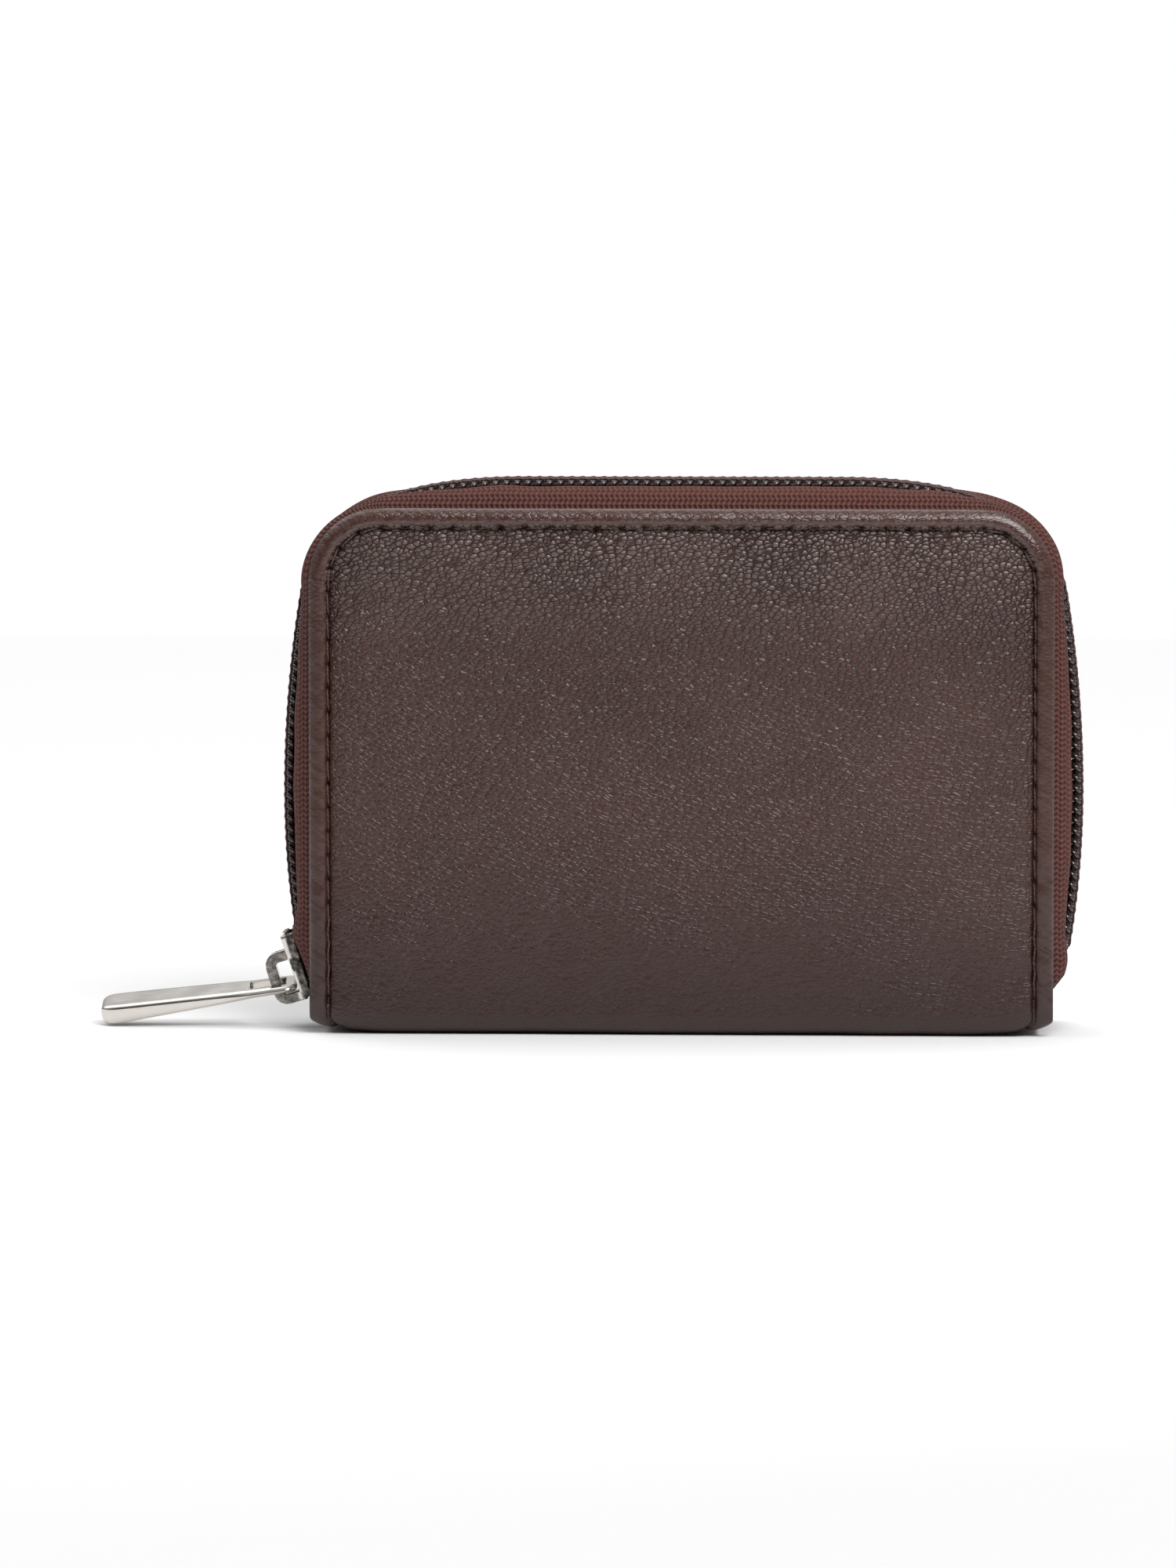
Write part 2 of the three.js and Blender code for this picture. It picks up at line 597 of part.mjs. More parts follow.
// Arch in (out, along) with round upper corners.
function arch(low, high, base, crown, round) {
  const steps = 4;
  const points = [[base, low]];
  for (const [centre, from] of [[low + round, Math.PI], [high - round, Math.PI / 2]]) {
    for (let i = 0; i <= steps; i++) {
      const angle = from - (i / steps) * (Math.PI / 2);
      points.push([crown - round + round * Math.sin(angle), centre + round * Math.cos(angle)]);
    }
  }
  return [...points, [base, high]];
}

// A point of the slider's frame, placed in the pouch's frame.
const parkedX = chainSideX(SLIDER_Z);
function fromSlider(n, s) {
  const x = parkedX - n * Math.cos(sliderTilt) - s * Math.sin(sliderTilt);
  const z = SLIDER_Z - n * Math.sin(sliderTilt) + s * Math.cos(sliderTilt);
  return { x, z };
}

const sliderMesh = addMesh("slider", "slider_body", sliderBody(), nickelFinish);
sliderMesh.position.set(parkedX, 0, SLIDER_Z);
sliderMesh.rotation.set(0, sliderTilt, Math.PI, "ZYX");

// ---------------------------------------------------------------- pull
// Flat bar, drawn lying along X from its eye at the origin, thicker towards its far end.
function pullTab() {
  const sideView = [];
  const capSteps = 4;
  for (let i = 0; i <= capSteps; i++) {
    const angle = Math.PI / 2 + (i / capSteps) * Math.PI;
    const radius = PULL_EYE_THICKNESS / 2;
    sideView.push([radius * Math.cos(angle), radius * Math.sin(angle)]);
  }
  const end = PULL_END_THICKNESS / 2;
  const lower = [
    [8, PULL_EYE_THICKNESS / 2 + 0.05],
    [PULL_LENGTH - PULL_END_ROUND, end],
    [PULL_LENGTH - 0.3, end * 0.7],
  ];
  sideView.push(...lower.map(([x, z]) => [x, -z]), [PULL_LENGTH, 0], ...lower.reverse());
  const sideRing = (y) => sideView.map(([x, z]) => new THREE.Vector3(x, y, z));
  const profile = toSolid(loft([sideRing(-6), sideRing(6)]));
  const plan = pullPlan();
  const planRing = (z) => plan.map(([x, y]) => new THREE.Vector3(x, y, z));
  const bar = toSolid(loft([planRing(-3), planRing(3)])).intersect(profile);
  const corner = PULL_HOLE_CORNER;
  const holeSide = [
    [PULL_HOLE_START, PULL_HOLE_HALF_WIDTH - corner],
    [PULL_HOLE_START + corner, PULL_HOLE_HALF_WIDTH],
    [PULL_HOLE_END - corner, PULL_HOLE_HALF_WIDTH],
    [PULL_HOLE_END, PULL_HOLE_HALF_WIDTH - corner],
  ];
  const hole = [...holeSide.map(([x, y]) => [x, -y]), ...holeSide.reverse()];
  const holeRing = (z) => hole.map(([x, y]) => new THREE.Vector3(x, y, z));
  return toGeometry(bar.subtract(toSolid(loft([holeRing(-4), holeRing(4)]))));
}

function pullPlan() {
  const half = [
    [-1, 0],
    [-1, PULL_EYE_HALF_WIDTH - 0.6],
    [-0.2, PULL_EYE_HALF_WIDTH],
    [PULL_LENGTH - 2.4, PULL_END_HALF_WIDTH],
    [PULL_LENGTH - 1.3, PULL_END_HALF_WIDTH - 0.3],
    [PULL_LENGTH - 0.5, PULL_END_HALF_WIDTH - 1],
    [PULL_LENGTH + 0.1, PULL_END_HALF_WIDTH - 2.3],
  ];
  return [...half, ...half.slice(1).reverse().map(([x, y]) => [x, -y])];
}

// The far end's front edge rests on the ground: droop is the bar's angle below level.
const pivot = fromSlider(faceAt(PULL_PIVOT_S) + PULL_PIVOT_N, PULL_PIVOT_S);
const roll = THREE.MathUtils.degToRad(PULL_ROLL);
const endDrop = (PULL_END_THICKNESS / 2) * Math.cos(roll) + PULL_END_HALF_WIDTH * Math.sin(roll);
const restHeight = endDrop + PULL_FLOOR_GAP;
const droop = Math.asin((pivot.z - restHeight) / (PULL_LENGTH - PULL_END_ROUND));
const pullMesh = addMesh("pull", "pull_tab", pullTab(), nickelFinish);
pullMesh.position.set(pivot.x, 0, pivot.z);
pullMesh.rotation.set(-roll, droop, Math.PI, "ZYX");

export default root;
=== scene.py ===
"""Zip-around leather card pouch: the looks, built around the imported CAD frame.

Shapes are worked out in millimetres in the frame's own axes (X along the spine, -Y the front
cover, +Z up) and turned into metres when a mesh is made. Everything is drawn for the front
half; side = -1 is the front half and side = +1 the back half.
"""

import math

import bpy
import numpy as np
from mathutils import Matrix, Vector


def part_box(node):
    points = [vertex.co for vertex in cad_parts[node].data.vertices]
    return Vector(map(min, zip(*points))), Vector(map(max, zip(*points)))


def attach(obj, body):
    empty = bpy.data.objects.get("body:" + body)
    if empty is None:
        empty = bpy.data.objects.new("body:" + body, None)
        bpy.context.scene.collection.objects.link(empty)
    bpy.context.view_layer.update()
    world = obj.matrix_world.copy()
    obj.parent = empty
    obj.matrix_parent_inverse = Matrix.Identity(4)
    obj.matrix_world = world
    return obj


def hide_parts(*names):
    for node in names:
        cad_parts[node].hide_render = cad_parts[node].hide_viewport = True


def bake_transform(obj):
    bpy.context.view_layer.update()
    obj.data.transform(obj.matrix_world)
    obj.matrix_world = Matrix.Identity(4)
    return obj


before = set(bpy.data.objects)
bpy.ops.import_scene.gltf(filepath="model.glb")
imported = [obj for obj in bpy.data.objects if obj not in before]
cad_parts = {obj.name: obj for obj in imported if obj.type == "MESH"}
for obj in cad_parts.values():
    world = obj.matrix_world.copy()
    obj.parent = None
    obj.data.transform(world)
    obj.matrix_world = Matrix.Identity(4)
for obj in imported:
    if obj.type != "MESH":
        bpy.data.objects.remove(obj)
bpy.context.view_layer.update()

MM = 0.001
FRONT, BACK = -1, 1
HALF_NAME = {FRONT: "front", BACK: "back"}


def box_mm(node):
    low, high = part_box(node)
    return np.array(low) / MM, np.array(high) / MM


# ------------------------------------------------------------------ driving sizes
panel_low, panel_high = box_mm("front_cover_leather")
HALF_WIDTH = panel_high[0]
PANEL_TOP = panel_high[2]
HALF_DEPTH = -panel_low[1]
RIM_THICKNESS = panel_high[1] - panel_low[1]
PANEL_CORNER_R = 10.0
SPINE_CORNER_R = 3.0
FOOT_CORNER_R = 2.1  # the panel's lower corners, seen from the front
LEATHER = 1.0
RIM_WIDTH = 4.2

SEAM_INSET = 2.6
SEAM_BOTTOM = 5.0
STITCH_PITCH = 3.3
THREAD_R = 0.17

CHAIN_SIDE = 54.7
CHAIN_TOP = 75.9
CHAIN_BOW_R = 130.0
CHAIN_BOW_TOP_R = 170.0
CHAIN_BOW_Z = 33.0
CHAIN_ARC_TOP = 60.0
CHAIN_CORNER_X = 22.0
CHAIN_CORNER_RISE = 0.35  # the corner curve's handles, as shares of its height and width
CHAIN_CORNER_REACH = 0.88
CHAIN_BOTTOM = 7.0
COIL_PITCH = 1.5
COIL_WIRE_R = 0.37
COIL_HALF_THICKNESS = 0.85
COIL_OUTER_Y = 3.0
COIL_HEAD_Y = 0.45  # each row's loops reach this far past the middle, between the other's

TAPE_THICKNESS = 0.45
TAPE_Y = HALF_DEPTH - RIM_THICKNESS - 0.15 - TAPE_THICKNESS / 2
TAPE_BOTTOM = 6.5
TAPE_TOP_RIDGE = 2.0
TAPE_SIDE_RIDGE = 1.4
TAPE_CORNER_RIDGE = 2.0
TAPE_SEWN = 3.6
COIL_GAP = 0.25

PARKED_TOP = 15.0  # below this the front tape stands aside from the parked slider
PARKED_TAPE_Y = 4.6
PARKED_TAPE_RISE = 2.1  # and bulges out beside it
PARKED_TAPE_HIGH, PARKED_TAPE_LOW = 13.0, 4.8  # the bulge dies out between these heights
SLIDER_PLACE = (-52.484, 9.1)
SLIDER_TILT = 0.30707
SLIDER_FACE = 2.25  # the outer plate's face, out from the slider's place
PULL_PIVOT = (-55.05, 5.77)
PULL_DROOP = math.radians(8.35)
PULL_ROLL = math.radians(12)

WORLD_STRENGTH = 0.75

rng = np.random.default_rng(11)


# ------------------------------------------------------------------ mesh helpers
def grid_quads(rows, cols, wrap_cols=False, wrap_rows=False, first=0, flip=False):
    """Quads over a grid of vertices stored row by row."""
    last_row = rows if wrap_rows else rows - 1
    last_col = cols if wrap_cols else cols - 1
    r, c = np.meshgrid(np.arange(last_row), np.arange(last_col), indexing="ij")
    r2, c2 = (r + 1) % rows, (c + 1) % cols
    quads = np.stack([r * cols + c, r * cols + c2, r2 * cols + c2, r2 * cols + c], -1)
    quads = quads.reshape(-1, 4) + first
    return quads[:, ::-1] if flip else quads


def make_mesh(name, points, faces, material, facts=None, smooth=True):
    """Object from points in millimetres. facts are per-vertex numbers or vectors for the material."""
    mesh = bpy.data.meshes.new(name)
    mesh.from_pydata((np.asarray(points) * MM).tolist(), [], [list(map(int, f)) for f in faces])
    for key, values in (facts or {}).items():
        values = np.asarray(values, np.float32)
        if values.ndim == 1:
            mesh.attributes.new(key, "FLOAT", "POINT").data.foreach_set("value", values)
        else:
            mesh.attributes.new(key, "FLOAT_VECTOR", "POINT").data.foreach_set("vector", values.ravel())
    mesh.validate()
    obj = bpy.data.objects.new(name, mesh)
    bpy.context.scene.collection.objects.link(obj)
    mesh.materials.append(material)
    if smooth:
        mesh.polygons.foreach_set("use_smooth", [True] * len(mesh.polygons))
    face_outward(obj)
    return obj


def face_outward(obj):
    """Turns all the faces over if the closed mesh is inside out."""
    mesh = obj.data
    mesh.calc_loop_triangles()
    count = len(mesh.loop_triangles)
    tris = np.zeros(count * 3, np.int32)
    mesh.loop_triangles.foreach_get("vertices", tris)
    points = np.zeros(len(mesh.vertices) * 3, np.float32)
    mesh.vertices.foreach_get("co", points)
    corners = points.reshape(-1, 3)[tris.reshape(-1, 3)].astype(float)
    volume = np.einsum("ij,ij->i", corners[:, 0], np.cross(corners[:, 1], corners[:, 2])).sum()
    if volume < 0:
        mesh.flip_normals()


def smoothstep(low, high, value):
    t = np.clip((np.asarray(value, float) - low) / (high - low), 0, 1)
    return t * t * (3 - 2 * t)


def waves(x, y, wavelength, count, seed):
    """Smooth seeded undulation, about -1 to 1, from a few crossing waves."""
    own = np.random.default_rng(seed)
    total = np.zeros(np.broadcast(x, y).shape)
    for _ in range(count):
        angle, phase, stretch = own.uniform(0, math.tau), own.uniform(0, math.tau), own.uniform(0.7, 1.5)
        k = math.tau / (wavelength * stretch)
        total += np.sin(k * (np.cos(angle) * x + np.sin(angle) * y) + phase)
    return total / math.sqrt(count) / 1.4


def resample(points, count):
    """Evenly spaced points along a polyline, and its length."""
    points = np.asarray(points, float)
    steps = np.linalg.norm(np.diff(points, axis=0), axis=1)
    along = np.concatenate([[0], np.cumsum(steps)])
    wanted = np.linspace(0, along[-1], count)
    return np.stack([np.interp(wanted, along, points[:, k]) for k in range(points.shape[1])], 1), along[-1]


def tube(path, radius, sides=8, up=(0, 1, 0)):
    """Points and faces of a tube along path with rounded-off ends."""
    path = np.asarray(path, float)
    tangent = np.gradient(path, axis=0)
    tangent /= np.linalg.norm(tangent, axis=1)[:, None]
    side = np.cross(tangent, up)
    side /= np.linalg.norm(side, axis=1)[:, None]
    over = np.cross(side, tangent)
    radii = np.broadcast_to(np.asarray(radius, float), len(path))
    turn = np.arange(sides) * math.tau / sides
    ring = np.cos(turn)[None, :, None] * side[:, None] + np.sin(turn)[None, :, None] * over[:, None]
    points = (path[:, None] + ring * radii[:, None, None]).reshape(-1, 3)
    faces = grid_quads(len(path), sides, wrap_cols=True).tolist()
    first, last = len(points), len(points) + 1
    tips = [path[:1] - tangent[:1] * radii[0] * 0.6, path[-1:] + tangent[-1:] * radii[-1] * 0.6]
    points = np.concatenate([points, *tips])
    end = (len(path) - 1) * sides
    for i in range(sides):
        j = (i + 1) % sides
        faces.append([first, j, i])
        faces.append([last, end + i, end + j])
    return points, faces


def joined(parts):
    """One list of points and faces from several."""
    points, faces, first = [], [], 0
    for part_points, part_faces in parts:
        points.append(part_points)
        faces += [[i + first for i in face] for face in part_faces]
        first += len(part_points)
    return np.concatenate(points), faces


# ------------------------------------------------------------------ material helpers
class Nodes:
    """Short way to write a node material."""

    def __init__(self, name):
        self.material = bpy.data.materials.new(name)
        self.material.use_nodes = True
        self.tree = self.material.node_tree
        self.shader = self.tree.nodes["Principled BSDF"]

    def add(self, kind, inputs=None, **settings):
        node = self.tree.nodes.new(kind)
        for key, value in settings.items():
            setattr(node, key, value)
        for key, value in (inputs or {}).items():
            if isinstance(value, bpy.types.NodeSocket):
                self.tree.links.new(value, node.inputs[key])
            else:
                node.inputs[key].default_value = value
        return node

    def math(self, operation, a, b=0.0, c=0.0):
        return self.add("ShaderNodeMath", {0: a, 1: b, 2: c}, operation=operation).outputs[0]

    def remap(self, value, low, high, to_low=0.0, to_high=1.0, kind="LINEAR"):
        inputs = {"Value": value, "From Min": low, "From Max": high, "To Min": to_low, "To Max": to_high}
        return self.add("ShaderNodeMapRange", inputs, interpolation_type=kind).outputs[0]

    def mix_colour(self, share, a, b):
        node = self.add("ShaderNodeMix", data_type="RGBA")
        for index, value in ((0, share), (6, a), (7, b)):
            if isinstance(value, bpy.types.NodeSocket):
                self.tree.links.new(value, node.inputs[index])
            else:
                node.inputs[index].default_value = value
        return node.outputs[2]

    def attribute(self, name, output="Vector"):
        return self.add("ShaderNodeAttribute", attribute_name=name).outputs[output]

    def noise(self, vector, scale, detail=3.0, roughness=0.5):
        inputs = {"Vector": vector, "Scale": scale, "Detail": detail, "Roughness": roughness}
        return self.add("ShaderNodeTexNoise", inputs).outputs[0]

    def voronoi(self, vector, scale, feature="F1", randomness=1.0):
        inputs = {"Vector": vector, "Scale": scale, "Randomness": randomness}
        return self.add("ShaderNodeTexVoronoi", inputs, feature=feature).outputs["Distance"]

    def bump(self, height, strength, distance_mm, normal=None):
        inputs = {"Height": height, "Strength": strength, "Distance": distance_mm * MM}
        if normal is not None:
            inputs["Normal"] = normal
        return self.add("ShaderNodeBump", inputs).outputs[0]

    def distorted(self, vector, scale, amount):
        """The vector shifted by a noise, so that cells and ribs aren't regular."""
        inputs = {"Vector": vector, "Scale": scale, "Detail": 2.0}
        shift = self.add("ShaderNodeTexNoise", inputs).outputs[1]
        centred = self.add("ShaderNodeVectorMath", {0: shift, 1: (0.5, 0.5, 0.5)}, operation="SUBTRACT")
        scaled = self.add("ShaderNodeVectorMath", {0: centred.outputs[0], "Scale": amount}, operation="SCALE")
        return self.add("ShaderNodeVectorMath", {0: vector, 1: scaled.outputs[0]}, operation="ADD").outputs[0]

    def finish(self, **sockets):
        for key, value in sockets.items():
            socket = self.shader.inputs[key.replace("_", " ")]
            if isinstance(value, bpy.types.NodeSocket):
                self.tree.links.new(value, socket)
            else:
                socket.default_value = value
        return self.material


def rgb(r, g, b):
    return (r, g, b, 1.0)


def leather_material():
    """Dark brown pebbled leather. flat is the place on the hide in millimetres, rim is 1 on the
    smooth turned edge, hole is 1 in a needle hole. The colour holds painted shade towards the
    bottom of the cover, in the creases and in the needle holes, and a painted highlight on the
    pebble tops near the cover's top."""
    n = Nodes("pebbled_leather")
    flat = n.attribute("flat")
    rim = n.attribute("rim", "Fac")
    hole = n.attribute("hole", "Fac")
    up_cover = n.add("ShaderNodeSeparateXYZ", {0: flat}).outputs[1]
    bent = n.distorted(flat, 0.55, 0.45)
    squeezed = n.add("ShaderNodeMapping", {"Vector": bent, "Scale": (0.8, 1.25, 1.0)}).outputs[0]
    crease = n.remap(n.voronoi(squeezed, 1.38, "DISTANCE_TO_EDGE"), 0.0, 0.17, kind="SMOOTHSTEP")
    from_middle = n.voronoi(squeezed, 1.38, "F1")
    dome = n.math("SUBTRACT", 1.0, n.math("MULTIPLY", n.math("MULTIPLY", from_middle, from_middle), 1.7))
    pebbles = n.math("MULTIPLY_ADD", crease, 0.5, n.math("MULTIPLY", dome, 0.55))
    fine = n.noise(flat, 5.0, 2.0)
    folds = n.noise(flat, 0.16, 3.0)
    grain = n.math("MULTIPLY_ADD", fine, 0.06, pebbles)
    swelling = n.remap(n.noise(flat, 0.07, 2.0), 0.35, 0.65, 0.7, 1.15)
    worn_low = n.remap(up_cover, 20.0, 60.0, 0.15, 0.62)
    lively_top = n.remap(up_cover, 62.0, 80.0, 0.0, 0.6)
    worn_low = n.math("ADD", worn_low, lively_top)
    depth = n.math("MULTIPLY", n.remap(rim, 0.0, 1.0, 1.0, 0.10), n.math("MULTIPLY", swelling, worn_low))
    height = n.math("MULTIPLY", grain, depth)
    patches = n.noise(flat, 0.05, 2.0)
    body = n.mix_colour(n.remap(patches, 0.3, 0.7), rgb(0.045, 0.0160, 0.0114), rgb(0.055, 0.0205, 0.0148))
    # painted shade: the leather's colour darkens towards the bottom of the cover
    with_painted_light = n.mix_colour(n.remap(up_cover, 10.0, 42.0), rgb(0.027, 0.0102, 0.0080), body)
    # painted highlight: near the cover's top the pebble tops are lightened towards pale grey, standing in for
    # the sheen of the light from above
    near_top = n.math("MULTIPLY", n.remap(up_cover, 64.0, 80.0), n.remap(rim, 0.0, 1.0, 1.0, 0.3))
    painted_top_highlight = n.math("MULTIPLY", n.math("MULTIPLY", near_top, n.remap(pebbles, 0.35, 0.9)), 0.62)
    with_painted_light = n.mix_colour(painted_top_highlight, with_painted_light, rgb(0.145, 0.112, 0.103))
    # painted shade: the creases between the pebbles are darkened, the more the deeper the grain, and less near
    # the cover's top
    crease_shade = n.math(
        "MULTIPLY", n.remap(crease, 0.0, 1.0, 0.65, 0.0),
        n.math("MULTIPLY", depth, n.remap(near_top, 0.0, 1.0, 1.0, 0.6)),
    )
    with_crease_shade = n.mix_colour(crease_shade, with_painted_light, rgb(0.012, 0.0055, 0.0045))
    # painted shade: the needle holes are coloured near black
    with_hole_shade = n.mix_colour(hole, with_crease_shade, rgb(0.002, 0.0012, 0.001))
    rough = n.remap(n.math("ADD", fine, folds), 0.6, 1.4, 0.32, 0.41)
    rough = n.math("MULTIPLY", rough, n.remap(up_cover, 64.0, 80.0, 1.0, 0.72))
    polished = n.math("MULTIPLY", rough, n.remap(rim, 0.0, 1.0, 1.0, 0.8))
    turned = n.add("ShaderNodeMapping", {"Vector": flat, "Rotation": (0, 0, 0.6)}).outputs[0]
    drawn = n.add("ShaderNodeMapping", {"Vector": turned, "Scale": (0.12, 1.2, 1)}).outputs[0]
    pulled = n.noise(n.distorted(drawn, 0.5, 0.5), 1.0, 2.0)
    wrinkled = n.bump(n.math("MULTIPLY_ADD", pulled, 0.22, folds), 0.6, 0.6)
    normal = n.bump(height, 1.0, 0.3, wrinkled)
    return n.finish(Base_Color=with_hole_shade, Roughness=polished, Normal=normal, Specular_IOR_Level=0.52)


def inner_leather_material():
    """Smoother, thinner leather of the card pockets, with painted shade in its creases."""
    n = Nodes("pocket_leather")
    flat = n.attribute("flat")
    crease = n.remap(n.voronoi(n.distorted(flat, 0.9, 0.4), 1.5, "DISTANCE_TO_EDGE"), 0.0, 0.22)
    fine = n.noise(flat, 7.0, 3.0)
    tone = n.mix_colour(n.noise(flat, 0.08, 2.0), rgb(0.030, 0.0135, 0.0108), rgb(0.044, 0.0205, 0.0165))
    # painted shade: the creases between the pebbles are darkened
    colour = n.mix_colour(n.remap(crease, 0.0, 1.0, 0.6, 0.0), tone, rgb(0.011, 0.0052, 0.0043))
    folds = n.noise(flat, 0.2, 3.0)
    normal = n.bump(n.math("MULTIPLY_ADD", fine, 0.3, crease), 0.7, 0.12, n.bump(folds, 0.5, 0.5))
    return n.finish(
        Base_Color=colour, Roughness=n.remap(fine, 0.3, 0.7, 0.38, 0.52), Specular_IOR_Level=0.4, Normal=normal,
    )


def lining_material():
    """Fine dark twill: diagonal ribs crossed by a finer thread."""
    n = Nodes("lining_twill")
    flat = n.distorted(n.attribute("flat"), 0.6, 0.12)
    turned = n.add("ShaderNodeMapping", {"Vector": flat, "Rotation": (0, 0, math.radians(38))}).outputs[0]
    ribs = n.add("ShaderNodeTexWave", {"Vector": turned, "Scale": 0.62, "Distortion": 0.4}).outputs["Fac"]
    cross = n.add("ShaderNodeTexWave", {"Vector": flat, "Scale": 0.9}, bands_direction="Y").outputs["Fac"]
    weave = n.math("MULTIPLY_ADD", cross, 0.35, ribs)
    colour = n.mix_colour(n.remap(weave, 0.0, 1.3), rgb(0.006, 0.0036, 0.003), rgb(0.036, 0.021, 0.018))
    return n.finish(
        Base_Color=colour, Roughness=0.82, Sheen_Weight=0.06, Specular_IOR_Level=0.2,
        Normal=n.bump(weave, 0.8, 0.1),
    )


def tape_material():
    """Woven zipper tape. flat is (along, across, 0) in millimetres: ribs run across the tape, in
    bands that turn from one slant to the other, with a plainer, lighter band beside the coil,
    and a painted shadow where the tape comes out from under the leather's rim."""
    n = Nodes("zipper_tape_weave")
    flat = n.distorted(n.attribute("flat"), 1.2, 0.14)
    parts = n.add("ShaderNodeSeparateXYZ", {0: flat}).outputs
    zigzag = n.math("PINGPONG", parts[1], 0.85)
    slanted = n.math("MULTIPLY_ADD", zigzag, 0.4, parts[0])
    ribs = n.math("SINE", n.math("MULTIPLY", slanted, math.tau / 0.72))
    rows = n.math("SINE", n.math("MULTIPLY", parts[1], math.tau / 0.85))
    weave = n.math("MULTIPLY_ADD", rows, 0.7, ribs)
    fuzz = n.noise(flat, 4.0, 3.0, 0.6)
    height = n.math("MULTIPLY_ADD", fuzz, 0.6, weave)
    tone = n.remap(n.math("MULTIPLY_ADD", n.noise(flat, 0.9, 2.0), 1.2, weave), -1.0, 2.2)
    colour = n.mix_colour(tone, rgb(0.026, 0.0080, 0.0064), rgb(0.175, 0.060, 0.048))
    near_coil = n.remap(parts[1], 7.0, 8.5)
    banded = n.mix_colour(n.math("MULTIPLY", near_coil, 0.35), colour, rgb(0.15, 0.055, 0.043))
    # painted shadow: the tape is darkened where it comes out from under the leather's rim
    rim_shadow_share = n.remap(parts[1], 3.0, 4.9, 0.8, 0.0)
    with_painted_light = n.mix_colour(rim_shadow_share, banded, rgb(0.016, 0.0045, 0.0038))
    normal = n.bump(height, 1.0, 0.16)
    return n.finish(Base_Color=with_painted_light, Roughness=0.75, Specular_IOR_Level=0.22, Normal=normal)


def coil_material():
    """Glossy dyed nylon wire with a faint drawn line."""
    n = Nodes("coil_nylon")
    place = n.add("ShaderNodeTexCoord").outputs["Object"]
    streak = n.noise(place, 1800.0, 3.0)
    colour = n.mix_colour(streak, rgb(0.010, 0.0055, 0.005), rgb(0.03, 0.017, 0.014))
    rough = n.remap(streak, 0.3, 0.7, 0.1, 0.18)
    return n.finish(
        Base_Color=colour, Roughness=rough, Specular_IOR_Level=0.85, Normal=n.bump(streak, 0.2, 0.03),
    )


def thread_material(name, dark, light):
    """Twisted sewing thread, its plies and fuzz patterned in the object's own space."""
    n = Nodes(name)
    place = n.add("ShaderNodeTexCoord").outputs["Object"]
    wave = {"Vector": place, "Scale": 900.0, "Distortion": 1.2}
    ply = n.add("ShaderNodeTexWave", wave, bands_direction="DIAGONAL").outputs["Fac"]
    fuzz = n.noise(place, 6000.0, 3.0)
    mixed = n.math("MULTIPLY_ADD", fuzz, 0.5, ply)
    colour = n.mix_colour(n.remap(mixed, 0.2, 1.3), rgb(*dark), rgb(*light))
    return n.finish(Base_Color=colour, Roughness=0.6, Normal=n.bump(mixed, 0.6, 0.05))


def nickel_material():
    """Bright nickel plate with handling scratches and slightly duller patches, and painted shade,
    dark and mottled, under the slider's outer plate and on its hook's sides.
    """
    n = Nodes("nickel_plate")
    place = n.add("ShaderNodeTexCoord").outputs["Object"]
    stretched = n.add("ShaderNodeMapping", {"Vector": place, "Scale": (260.0, 2600.0, 2600.0)}).outputs[0]
    scratches = n.noise(stretched, 1.0, 4.0, 0.6)
    patches = n.noise(place, 260.0, 3.0)
    pits = n.remap(n.voronoi(place, 1500.0, "F1"), 0.0, 0.16)
    colour = n.mix_colour(patches, rgb(0.55, 0.515, 0.47), rgb(0.72, 0.69, 0.65))
    painted_shade_mask = n.attribute("painted_shade_mask", "Fac")
    cast = n.remap(n.noise(place, 1300.0, 3.0), 0.35, 0.7)
    # painted shade: a dark, mottled colour laid where the mask is, under the outer plate and on the hook's
    # sides
    painted_shade_tone = n.mix_colour(cast, rgb(0.05, 0.045, 0.04), rgb(0.34, 0.32, 0.29))
    with_painted_shade = n.mix_colour(painted_shade_mask, colour, painted_shade_tone)
    rough = n.remap(n.math("ADD", patches, scratches), 0.7, 1.3, 0.10, 0.24)
    roughened = n.math("MULTIPLY_ADD", painted_shade_mask, 0.22, rough)
    height = n.math("MULTIPLY_ADD", pits, 0.25, scratches)
    normal = n.bump(cast, n.math("MULTIPLY", painted_shade_mask, 0.6), 0.08, n.bump(height, 0.10, 0.03))
    return n.finish(Base_Color=with_painted_shade, Metallic=1.0, Roughness=roughened, Normal=normal)


def board_material():
    """Pressed fibre board with flecks."""
    n = Nodes("fibre_board")
    place = n.add("ShaderNodeTexCoord").outputs["Object"]
    fibres = n.noise(place, 1400.0, 5.0, 0.7)
    colour = n.mix_colour(fibres, rgb(0.16, 0.10, 0.06), rgb(0.42, 0.31, 0.2))
    return n.finish(Base_Color=colour, Roughness=0.9, Normal=n.bump(fibres, 0.5, 0.08))


def foam_material():
    """Thin closed-cell foam."""
    n = Nodes("padding_foam")
    place = n.add("ShaderNodeTexCoord").outputs["Object"]
    cells = n.voronoi(place, 2600.0, "F1")
    colour = n.mix_colour(cells, rgb(0.05, 0.047, 0.045), rgb(0.11, 0.105, 0.1))
    return n.finish(Base_Color=colour, Roughness=0.95, Normal=n.bump(cells, 0.6, 0.1))


LEATHER_LOOK = leather_material()
POCKET_LOOK = inner_leather_material()
LINING_LOOK = lining_material()
TAPE_LOOK = tape_material()
COIL_LOOK = coil_material()
SEAM_LOOK = thread_material("seam_thread", (0.022, 0.010, 0.0082), (0.09, 0.044, 0.036))
COIL_THREAD_LOOK = thread_material("coil_sewing_thread", (0.03, 0.01, 0.009), (0.11, 0.045, 0.039))
NICKEL_LOOK = nickel_material()
BOARD_LOOK = board_material()
FOAM_LOOK = foam_material()


